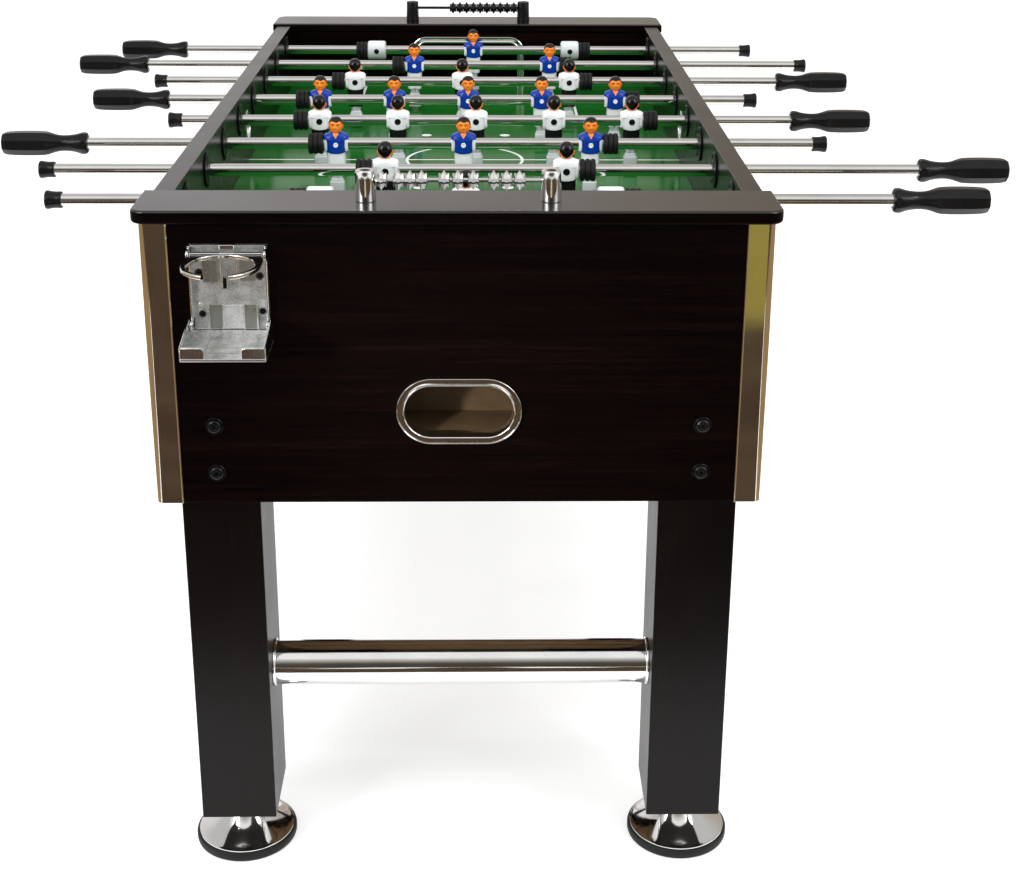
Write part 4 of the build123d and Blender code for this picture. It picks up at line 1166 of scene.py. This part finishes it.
NEAR_BEADS = {
    "near_beads_left": (-0.0880, -0.0684, -0.0554, -0.0420),
    "near_beads_middle": (-0.0163, -0.0005, 0.0173),
    "near_beads_right": (0.0406, 0.0554, 0.0703),
}
FAR_BEADS = [0.0885 - 0.013 * n for n in range(10)]


def star_bead(name, x, y):
    """A bead round the spindle: six points that rise to a ridge in the middle."""
    stations = BEAD_STATIONS + [(-place, tip, root) for place, tip, root in reversed(BEAD_STATIONS)]
    stations += [(place, BEAD_BORE, BEAD_BORE) for place in (stations[-1][0], stations[0][0])]
    turns = [math.pi * (n + 4) / BEAD_POINTS for n in range(BEAD_POINTS * 2)]
    shape = bmesh.new()
    loops = [
        [
            shape.verts.new((place * BEAD_HALF, reach * math.cos(turn), reach * math.sin(turn)))
            for turn, reach in zip(turns, (tip, root) * BEAD_POINTS)
        ]
        for place, tip, root in stations
    ]
    walled(shape, loops + loops[:1])
    bmesh.ops.recalc_face_normals(shape, faces=shape.faces[:])
    return meshed(name, shape, Matrix.Translation((x, y, SPINDLE_Z)))


post_chrome = chrome("chromed post", (0.82, 0.81, 0.80))
silver_plastic = chrome("vacuum-plated silver", (0.80, 0.80, 0.78), 0.04, 0.06)
for end, name, post_finish, slot in (
    (-1, "near_scorer_frame", post_chrome, "chrome_trim"),
    (1, "far_scorer_frame", black_plastic, "black_plastic"),
):
    pieces = []
    for side in (-1, 1):
        foot = Matrix.Translation((side * POST_X, end * SCORER_Y, RAIL_TOP))
        pieces.append(turned("post", POST_PROFILE, 64, foot))
        pieces.append(finished(turned("post screw", POST_SCREW, 24, foot), 1))
    reach = POST_X - SPINDLE_INSET
    spindle = [(SPINDLE_RADIUS, 0.0), (SPINDLE_RADIUS, 2 * reach)]
    pieces.append(turned("spindle", spindle, 24, along_x(-reach, end * SCORER_Y, SPINDLE_Z)))
    show(name + "_posts", gathered(name, pieces), [post_finish, black_steel_and_slot_shade], "cabinet", [name])
for node, places in NEAR_BEADS.items():
    mesh = gathered(node, [star_bead("bead", x, -SCORER_Y) for x in places])
    show(node + "_stars", mesh, [silver_plastic], node, [node], BEAD_CREASE)
mesh = gathered("far beads", [star_bead("bead", x, SCORER_Y) for x in FAR_BEADS])
show("far_beads_stars", mesh, [black_plastic], "far_beads", ["far_beads"], BEAD_CREASE)

# Folding cup holder
# A chromed zinc casting on the near end panel, rough where it was never polished: a ribbed back plate with
# ears, a split ring that folds down and a ribbed tray that folds up over it, each on its own pins.
CUP_X, CUP_LOW, CUP_HIGH, CUP_HALF = -0.261, 0.743, 0.845, 0.045
PIVOT_Y, RING_PIVOT_Z, TRAY_PIVOT_Z = -0.724, 0.836, 0.752
PLATE_FRONT, WALL_FRONT, WALL_SHEET, EAR_HALF = -0.712, -0.719, 0.003, 0.007
RING_RADIUS, RING_BORE, RING_MOUTH, RING_HALF = 0.044, 0.038, 0.014, 0.0025
BARREL_HALF, BARREL_RADIUS, PIN_RADIUS = 0.0414, 0.004, 0.0024
TRAY_INNER, TRAY_OUTER, TRAY_UNDER, TRAY_SHEET = 0.0456, 0.0482, 0.731, 0.0026
TRAY_FRONT, TRAY_BACK, TRAY_LIP_TOP, TRAY_NOTCH = -0.786, -0.716, 0.7476, 0.020
RIM_PROFILE = [
    (0.0052, 0.0), (0.0052, 0.0006), (0.0048, 0.0011), (0.0041, 0.0011), (0.0037, 0.0006), (0.0036, 0.0),
    (0.0, 0.0),
]
HEAD_PROFILE = [
    (0.0034, 0.0001), (0.0032, 0.0006), (0.0020, 0.0011), (0.0012, 0.0011, 4, 0.9), (0.0009, 0.0002, 4, 0.9),
    (0.0, 0.0002),
]
PILOT_PROFILE = [
    (0.0024, 0.0), (0.0023, 0.0007), (0.0018, 0.0010), (0.0010, 0.0008), (0.0008, 0.0002), (0.0, 0.0001),
]
PLATE_SCREWS = ((-0.0340, 0.8120), (0.0350, 0.8080), (-0.0325, 0.7625), (0.0365, 0.7655))
PILOTS = ((-0.0345, 0.7735), (0.0375, 0.7760))


def casting(name, low, high):
    """Satin plated casting, with the fine mottled skin of the mould."""
    material, tree, shader = new_finish(name)
    mottle = grain(tree, even(60.0), 4.0, 0.6)
    pits = grain(tree, even(650.0), 3.0, 0.6)
    both = blended(tree, 0.5, mottle, pits)
    feed(tree, shader, {
        "Base Color": ramp(tree, both, [(0.38, low), (0.58, high)]),
        "Metallic": 0.78,
        "Roughness": span(tree, both, 0.20, 0.44),
        "Normal": bump(tree, both, 0.25, 0.0005),
    })
    return material


def pulled_across(name, outline, low, high, edge):
    """An outline in Y and Z pulled along X."""
    mesh = slab_mesh(name, outline, low, high, edge, 3)
    mesh.transform(Matrix(((0, 0, 1, 0), (1, 0, 0, 0), (0, 1, 0, 0), (0, 0, 0, 1))))
    return mesh


def pulled_deep(name, outline, front, back, edge):
    """An outline in X and Z pulled along Y."""
    mesh = slab_mesh(name, outline, -back, -front, edge, 3)
    mesh.transform(Matrix.Rotation(math.pi / 2, 4, "X"))
    return mesh


def ear_outline(z):
    """From the plate round the front of a pivot."""
    front = arc(PIVOT_Y, z, EAR_HALF, -90, -270, 16)
    return [(-END_FACE, z - EAR_HALF), *front, (-END_FACE, z + EAR_HALF)]


# The pads take darker and lighter copies of the casting: four in a rougher, darker olive chrome as painted
# reflection, one lighter as a painted highlight.
cast_chrome = casting("chromed zinc casting", (0.32, 0.32, 0.31), (0.74, 0.75, 0.74))
lit_pad_cast = casting("zinc casting, lightened as painted highlight", (0.60, 0.61, 0.61), (0.92, 0.93, 0.93))
bright_cast = chrome("polished zinc casting", (0.80, 0.80, 0.79), 0.07, 0.06)
shaded_pad_cast = chrome("satin zinc casting, darkened as painted reflection", (0.52, 0.52, 0.48), 0.06, 0.22)


def cup_box(x_low, x_high, y_low, y_high, z_low, z_high, edge=0.0006):
    """A cast block between two places along each axis."""
    return boards("cup block", [((x_low, y_low, z_low), (x_high, y_high, z_high))], edge)


CAST, DARK, PAD, BRIGHT, LIGHT = range(5)  # the finishes of the plate
WALL_EDGE, EAR_EDGE, BLOCK_SUNK = 0.0010, 0.0009, 0.001
SLOT_LOW, SLOT_HIGH, SLOT_LEFT, SLOT_RIGHT, SLOT_RIM = 0.7920, 0.8075, -0.0084, -0.0016, 0.0014
plate_blocks = [  # finish, left, right, foot, top, how proud of the plate, edge
    (PAD, -0.0300, -0.0125, 0.8005, 0.8270, 0.0022, 0.0009),
    (PAD, 0.0125, 0.0300, 0.8020, 0.8285, 0.0022, 0.0009),
    (PAD, -0.0245, -0.0092, 0.7460, 0.7740, 0.0014, 0.0006),
    (PAD, 0.0160, 0.0300, 0.7460, 0.7740, 0.0014, 0.0006),
    (LIGHT, -0.0085, 0.0155, 0.7450, 0.7730, 0.0012, 0.0004),
    (BRIGHT, -0.0100, -0.0084, 0.8090, 0.8290, 0.0022, 0.0006),
    (BRIGHT, 0.0084, 0.0100, 0.8090, 0.8290, 0.0022, 0.0006),
    (BRIGHT, -0.0100, 0.0100, 0.8078, 0.8094, 0.0022, 0.0006),
    (BRIGHT, -0.0420, 0.0420, 0.8425, 0.8450, 0.0030, 0.0009),
    (BRIGHT, -0.0088, 0.0088, 0.8412, 0.8472, 0.0090, 0.0012),
    (BRIGHT, -0.0420, 0.0420, 0.7430, 0.7452, 0.0016, 0.0007),
]
plate_blocks += [
    (BRIGHT, x - 0.0009, x + 0.0009, 0.7440, 0.7745, 0.0040, 0.0006)
    for x in (-0.0250, -0.0085, 0.0155, 0.0310)
]
plate_blocks += [
    (BRIGHT, left, right, foot, top, 0.0022, 0.0005)
    for left, right, foot, top in (
        (SLOT_LEFT, SLOT_LEFT + SLOT_RIM, SLOT_LOW, SLOT_HIGH),
        (SLOT_RIGHT - SLOT_RIM, SLOT_RIGHT, SLOT_LOW, SLOT_HIGH),
        (SLOT_LEFT, SLOT_RIGHT, SLOT_LOW, SLOT_LOW + SLOT_RIM),
        (SLOT_LEFT, SLOT_RIGHT, SLOT_HIGH - SLOT_RIM, SLOT_HIGH),
    )
]
# The slot is not cut through: a thin block in the black steel finish fills its opening, as painted shade of
# the hole.
plate_blocks += [
    (DARK, SLOT_LEFT + 0.0012, SLOT_RIGHT - 0.0012, SLOT_LOW + 0.001, SLOT_HIGH - 0.001, 0.0003, 0.0001),
]
plate_pieces = [cup_box(-CUP_HALF, CUP_HALF, PLATE_FRONT, -END_FACE, CUP_LOW, CUP_HIGH)]
for side in (-1, 1):
    inner, outer = sorted((side * (CUP_HALF - WALL_SHEET), side * CUP_HALF))
    wall = cup_box(inner, outer, WALL_FRONT, -END_FACE, CUP_LOW, CUP_HIGH, WALL_EDGE)
    plate_pieces.append(finished(wall, BRIGHT))
    for z in (RING_PIVOT_Z, TRAY_PIVOT_Z):
        ear = pulled_across("ear", ear_outline(z), inner, outer, EAR_EDGE)
        plate_pieces.append(finished(ear, BRIGHT))
for finish, left, right, foot, top, proud, edge in plate_blocks:
    block = cup_box(left, right, PLATE_FRONT - proud, PLATE_FRONT + BLOCK_SUNK, foot, top, edge)
    plate_pieces.append(finished(block, finish))
for x, z in PLATE_SCREWS:
    seat = facing_end(x, -1, z, -PLATE_FRONT)
    plate_pieces.append(finished(turned("screw rim", RIM_PROFILE, 32, seat), BRIGHT))
    plate_pieces.append(finished(turned("plate screw", HEAD_PROFILE, 24, seat), DARK))
for x, z in PILOTS:
    pilot = turned("pilot", PILOT_PROFILE, 20, facing_end(x, -1, z, -PLATE_FRONT))
    plate_pieces.append(finished(pilot, CAST))
cup_place = Matrix.Translation((CUP_X, 0.0, 0.0))
plate_mesh = gathered("cup plate", plate_pieces)
plate_mesh.transform(cup_place)
plate_finishes = [cast_chrome, black_steel_and_slot_shade, shaded_pad_cast, bright_cast, lit_pad_cast]
show("cup_plate_casting", plate_mesh, plate_finishes, "cabinet", ["cup_holder_plate"],
     flat_sides=True)

RING_EDGE, PIN_EDGE, BARREL_EDGE = 0.0015, 0.0003, 0.0004
ring_middle = (RING_RADIUS + RING_BORE) / 2
ring_tip = math.degrees(math.asin(RING_MOUTH / ring_middle))
SHOULDER = [(RING_RADIUS, 0.0), (RING_RADIUS, 0.0240), (BARREL_HALF, 0.0364), (BARREL_HALF, RING_RADIUS)]


def ring_reach(turn):
    """From the ring's centre to its outer edge: round in front, out to the square shoulders at the hinge."""
    across, up = abs(math.cos(turn)), math.sin(turn)
    if up <= 0.0:
        return RING_RADIUS
    for (x, y), (next_x, next_y) in zip(SHOULDER, SHOULDER[1:]):
        if up * next_x <= across * next_y + 1e-9:
            return (x * next_y - y * next_x) / (across * (next_y - y) - up * (next_x - x))
    return RING_RADIUS / up


ring_turns = [-90 + ring_tip + n * (90 - ring_tip) / 24 for n in range(25)]
ring_turns += [math.degrees(math.atan2(y, x)) for x, y in SHOULDER[1:]] + [52, 58, 64, 70, 76, 83]
ring_turns += [90.0] + [180 - turn for turn in reversed(ring_turns)]
ring_shape = bmesh.new()
ring_loops = []
for turn in [math.radians(turn) for turn in ring_turns]:
    rim = ring_reach(turn)
    corners = ((RING_BORE, 1, -1), (rim, -1, -1), (rim, -1, 1), (RING_BORE, 1, 1))
    loop = []
    for n, (reach, inset, up) in enumerate(corners):
        for x, y in arc(0.0, 0.0, RING_EDGE, 180 + 90 * n, 270 + 90 * n, 4):
            out = reach + inset * RING_EDGE + x
            rise = up * (RING_HALF - RING_EDGE) + y
            place = (out * math.cos(turn), -RING_RADIUS + out * math.sin(turn), rise)
            loop.append(ring_shape.verts.new(place))
    ring_loops.append(loop)
walled(ring_shape, ring_loops)
ring_shape.faces.new(ring_loops[0])
ring_shape.faces.new(ring_loops[-1])
bmesh.ops.recalc_face_normals(ring_shape, faces=ring_shape.faces[:])
ring_band = meshed("ring band", ring_shape)
barrel_profile = both_ways([
    (0.0, -CUP_HALF), (PIN_RADIUS - PIN_EDGE, -CUP_HALF), (PIN_RADIUS, -CUP_HALF + PIN_EDGE),
    (PIN_RADIUS, -BARREL_HALF), (BARREL_RADIUS - BARREL_EDGE, -BARREL_HALF),
    (BARREL_RADIUS, -BARREL_HALF + BARREL_EDGE),
], 0.0)
ring_barrel = turned("ring barrel", barrel_profile, 32, Matrix.Rotation(math.pi / 2, 4, "Y"))
ring_mesh = gathered("cup ring", [ring_band, ring_barrel])
ring_mesh.transform(cup_place @ Matrix.Translation((0.0, PIVOT_Y, RING_PIVOT_Z)))
show("cup_ring_casting", ring_mesh, [bright_cast], "cup_holder_ring", ["cup_holder_ring"],
     flat_sides=True)

TRAY_BACK_TOP, LIP_CORNER, PIN_INNER, RIB_EDGE = 0.7438, 0.005, 0.0420, 0.0003
TRAY_BRIGHT = 1
floor_top = TRAY_UNDER + TRAY_SHEET
front_bead = cup_box(
    -TRAY_OUTER, TRAY_OUTER, TRAY_FRONT - 0.0008, TRAY_FRONT + 0.0030,
    TRAY_UNDER - 0.0004, floor_top + 0.0008, 0.0014,
)
back_half = TRAY_INNER + 0.001
tray_pieces = [
    cup_box(-TRAY_OUTER, TRAY_OUTER, TRAY_FRONT, TRAY_BACK, TRAY_UNDER, floor_top),
    finished(front_bead, TRAY_BRIGHT),
    cup_box(-back_half, back_half, TRAY_BACK - 0.0018, TRAY_BACK, TRAY_UNDER, TRAY_BACK_TOP),
]
cheek_outline = [
    (TRAY_FRONT, TRAY_UNDER), (TRAY_BACK, TRAY_UNDER), (PIVOT_Y + EAR_HALF, TRAY_PIVOT_Z),
] + arc(PIVOT_Y, TRAY_PIVOT_Z, EAR_HALF, 0, 100, 10) + [(TRAY_FRONT, TRAY_LIP_TOP)]
for side in (-1, 1):
    inner, outer = sorted((side * TRAY_INNER, side * TRAY_OUTER))
    cheek = pulled_across("cheek", cheek_outline, inner, outer, EAR_EDGE)
    tray_pieces.append(finished(cheek, TRAY_BRIGHT))
    for inset, proud, back, finish in ((0.0, 0.0, TRAY_SHEET, 0), (0.0013, 0.0004, 0.0010, TRAY_BRIGHT)):
        corner = LIP_CORNER - inset
        notch, top, under = TRAY_NOTCH + inset, TRAY_LIP_TOP - inset, TRAY_UNDER + 2.6 * inset
        lip = [(TRAY_OUTER - inset, under), (TRAY_OUTER - inset, top)]
        lip += arc(notch + corner, top - corner, corner, 90, 180, 8) + [(notch, under)]
        lip = [(side * x, z) for x, z in lip]
        lip_mesh = pulled_deep("lip", lip, TRAY_FRONT - proud, TRAY_FRONT + back, 0.0008 - 0.45 * inset)
        tray_pieces.append(finished(lip_mesh, finish))
    pin_length = TRAY_OUTER - PIN_INNER
    pin_profile = [(0.0, 0.0), (PIN_RADIUS, 0.0), (PIN_RADIUS, pin_length), (0.0, pin_length)]
    pin_low = PIN_INNER if side > 0 else -TRAY_OUTER
    tray_pieces.append(turned("tray pin", pin_profile, 24, along_x(pin_low, PIVOT_Y, TRAY_PIVOT_Z)))
rib_foot, rib_top = floor_top - 0.001, floor_top + 0.0011
rib_front, rib_back, cross_ribs = TRAY_FRONT + 0.002, TRAY_BACK - 0.002, (-0.7480, -0.7660)
tray_ribs = [(x - 0.0007, x + 0.0007, rib_front, rib_back, rib_top, TRAY_BRIGHT) for x in (-0.0240, 0.0310)]
tray_ribs += [(-0.0440, 0.0440, y - 0.0006, y + 0.0006, rib_top - 0.0003, TRAY_BRIGHT) for y in cross_ribs]
tray_ribs += [(-0.0087, -0.0073, rib_front, cross_ribs[1], rib_top, 0)]
for left, right, front, back, top, finish in tray_ribs:
    rib = cup_box(left, right, front, back, rib_foot, top, RIB_EDGE)
    tray_pieces.append(finished(rib, finish))
tray_mesh = gathered("cup tray", tray_pieces)
tray_mesh.transform(cup_place)
show("cup_tray_casting", tray_mesh, [cast_chrome, bright_cast], "cup_holder_tray", ["cup_holder_tray"],
     flat_sides=True)

# Studio
# White paper on the floor of a white room. Glowing sheets coloured like planks, rugs and a mat lie on it,
# mostly on the camera's side: only reflections see them, as painted reflections that light nothing and cast
# no shadow.
# Soft lamps hang over and before the table, and one shines into the ball return.
PAPER_EDGE, PLANKS_HALF, RUG_EDGE, ROOM_END, STUDIO_HALF = -1.15, 1.12, 1.26, -9.0, 12.0
PLANKS_BREAK = -2.9
CAMERA_PLACE, CAMERA_PITCH, CAMERA_YAW, CAMERA_ROLL = (0.0272, -2.4774, 1.3690), 19.118, -1.115, 0.335
CAMERA_LENS, CAMERA_SHIFT = 56.996, -0.127


def sheet_of(name, spans, height):
    """Flat sheets on the floor, each between two corners."""
    corners, faces = [], []
    for (left, front), (right, back) in spans:
        first = len(corners)
        corners += [(x, y, height) for x, y in ((left, front), (right, front), (right, back), (left, back))]
        faces.append(tuple(range(first, first + 4)))
    mesh = bpy.data.meshes.new(name)
    mesh.from_pydata(corners, [], faces)
    made = bpy.data.objects.new(name, mesh)
    bpy.context.scene.collection.objects.link(made)
    return made


def shown(tree, rays):
    """1 for the rays that show the background itself: from the camera, off gloss or through glass."""
    seen = add(tree, "Math", {0: rays["Is Camera Ray"], 1: rays["Is Glossy Ray"]}, operation="MAXIMUM")
    seen = add(tree, "Math", {0: seen.outputs[0], 1: rays["Is Transmission Ray"]}, operation="MAXIMUM")
    return seen.outputs[0]


paper = sheet_of("studio_floor", [((-STUDIO_HALF, -STUDIO_HALF), (STUDIO_HALF, STUDIO_HALF))], -0.0002)
paper_finish, tree, shader = new_finish("white paper")
seen = shown(tree, add(tree, "LightPath").outputs)
glow = add(tree, "Math", {0: seen, 1: 0.45}, operation="MULTIPLY")
feed(tree, shader, {
    "Base Color": (0.80, 0.80, 0.80, 1.0),
    "Roughness": 0.9,
    "Specular IOR Level": 0.0,
    "Emission Color": (1.0, 1.0, 1.0, 1.0),
    "Emission Strength": glow.outputs[0],
})
paper.data.materials.append(paper_finish)

# Glowing sheets coloured like planks, rugs and a mat, seen only in reflections: painted reflections that
# light nothing and cast no shadow.
for name, spans, height, low, high in (
    ("reflection_planks", [((-PLANKS_HALF, PLANKS_BREAK), (PLANKS_HALF, PAPER_EDGE))] + [
        ((low, ROOM_END), (high, PLANKS_BREAK)) for low, high in ((-6.0, -0.44), (-0.18, 0.13), (0.39, 6.0))
    ], 0.001, (0.055, 0.034, 0.019), (0.115, 0.078, 0.050)),
    ("reflection_rugs", [((-6.0, PLANKS_BREAK), (-RUG_EDGE, 1.2)), ((RUG_EDGE, PLANKS_BREAK), (6.0, 1.2))], 0.001,
     (0.300, 0.190, 0.080), (0.420, 0.290, 0.140)),
    ("reflection_mat", [((0.68, ROOM_END), (PLANKS_HALF, -2.85))], 0.002,
     (0.280, 0.220, 0.045), (0.420, 0.350, 0.080)),
):
    ground = sheet_of(name, spans, height)
    ground_finish, tree, shader = new_finish(name)
    planks = grain(tree, (1.2, 7.0, 1.0), 3.0, 0.6)
    feed(tree, shader, {
        "Base Color": (0.0, 0.0, 0.0, 1.0),
        "Specular IOR Level": 0.0,
        "Emission Color": ramp(tree, planks, [(0.35, low), (0.65, high)]),
        "Emission Strength": 1.0,
    })
    ground.data.materials.append(ground_finish)
    ground.visible_camera = ground.visible_diffuse = ground.visible_shadow = False

world = bpy.data.worlds.new("white room")
bpy.context.scene.world = world
world.use_nodes = True
tree = world.node_tree
toward = add(tree, "SeparateXYZ", {"Vector": add(tree, "TexCoord").outputs["Generated"]})
depth = add(tree, "MapRange", {"Value": toward.outputs["Y"], "From Min": -1.0}).outputs["Result"]
aside = add(tree, "MapRange", {"Value": toward.outputs["X"], "From Min": -0.17, "From Max": 0.17})
near_room = [
    (0.0, (0.060, 0.050, 0.036)), (0.03, (0.10, 0.09, 0.07)), (0.10, (0.55, 0.54, 0.52)), (0.16, even(1.0)),
    (0.36, even(1.0)), (0.43, even(0.62)), (0.70, even(0.60)),
]
left_room = ramp(tree, depth, near_room + [(0.94, (0.93, 0.89, 0.90))])
right_room = ramp(tree, depth, near_room + [(0.94, (0.49, 0.42, 0.35))])
mirrored = add(tree, "Mix", {0: aside.outputs["Result"], 6: left_room, 7: right_room}, data_type="RGBA")
rays = add(tree, "LightPath").outputs
plain = add(tree, "Mix", {0: rays["Is Glossy Ray"], 6: (1.0, 1.0, 1.0, 1.0), 7: mirrored.outputs[2]},
            data_type="RGBA")
strength = span(tree, shown(tree, rays), 0.88, 1.0)
feed(tree, tree.nodes["Background"], {"Color": plain.outputs[2], "Strength": strength})


def hung(name, lamp, place, target):
    """Hangs a lamp at a place, pointing at a target."""
    made = bpy.data.objects.new(name, lamp)
    made.location = place
    made.rotation_euler = (Vector(target) - Vector(place)).to_track_quat("-Z", "Y").to_euler()
    bpy.context.scene.collection.objects.link(made)
    return made


for name, place, size, power in (
    ("overhead", (0.0, -0.3, 3.2), 3.0, 60.0),
    ("front left", (-2.4, -2.6, 2.2), 1.6, 40.0),
    ("front right", (2.6, -2.2, 2.4), 1.6, 30.0),
    ("left spark", (-1.5, -2.4, 2.9), 0.14, 7.0),
    ("right spark", (1.7, -2.0, 3.0), 0.14, 7.0),
):
    lamp = bpy.data.lights.new(name, "AREA")
    lamp.shape, lamp.size, lamp.energy = "SQUARE", size, power
    hung(name, lamp, place, (0.0, 0.0, 0.75)).visible_glossy = name != "overhead"

return_lamp = bpy.data.lights.new("into the ball return", "SPOT")
return_lamp.energy, return_lamp.spot_size, return_lamp.spot_blend = 300.0, math.radians(9.0), 0.5
return_lamp.shadow_soft_size = 0.10
hung("into the ball return", return_lamp, (-1.5, -2.2, 1.15), (0.0, -END_FACE, RETURN_HEIGHT))

camera = bpy.data.cameras.new("camera")
camera.sensor_width, camera.lens, camera.shift_y = 36.0, CAMERA_LENS, CAMERA_SHIFT
camera_object = bpy.data.objects.new("camera", camera)
camera_object.matrix_world = (
    Matrix.Translation(CAMERA_PLACE)
    @ Matrix.Rotation(math.radians(CAMERA_YAW), 4, "Z")
    @ Matrix.Rotation(math.radians(90 - CAMERA_PITCH), 4, "X")
    @ Matrix.Rotation(math.radians(CAMERA_ROLL), 4, "Z")
)
bpy.context.scene.collection.objects.link(camera_object)
bpy.context.scene.camera = camera_object
bpy.context.scene.view_settings.view_transform = "Standard"
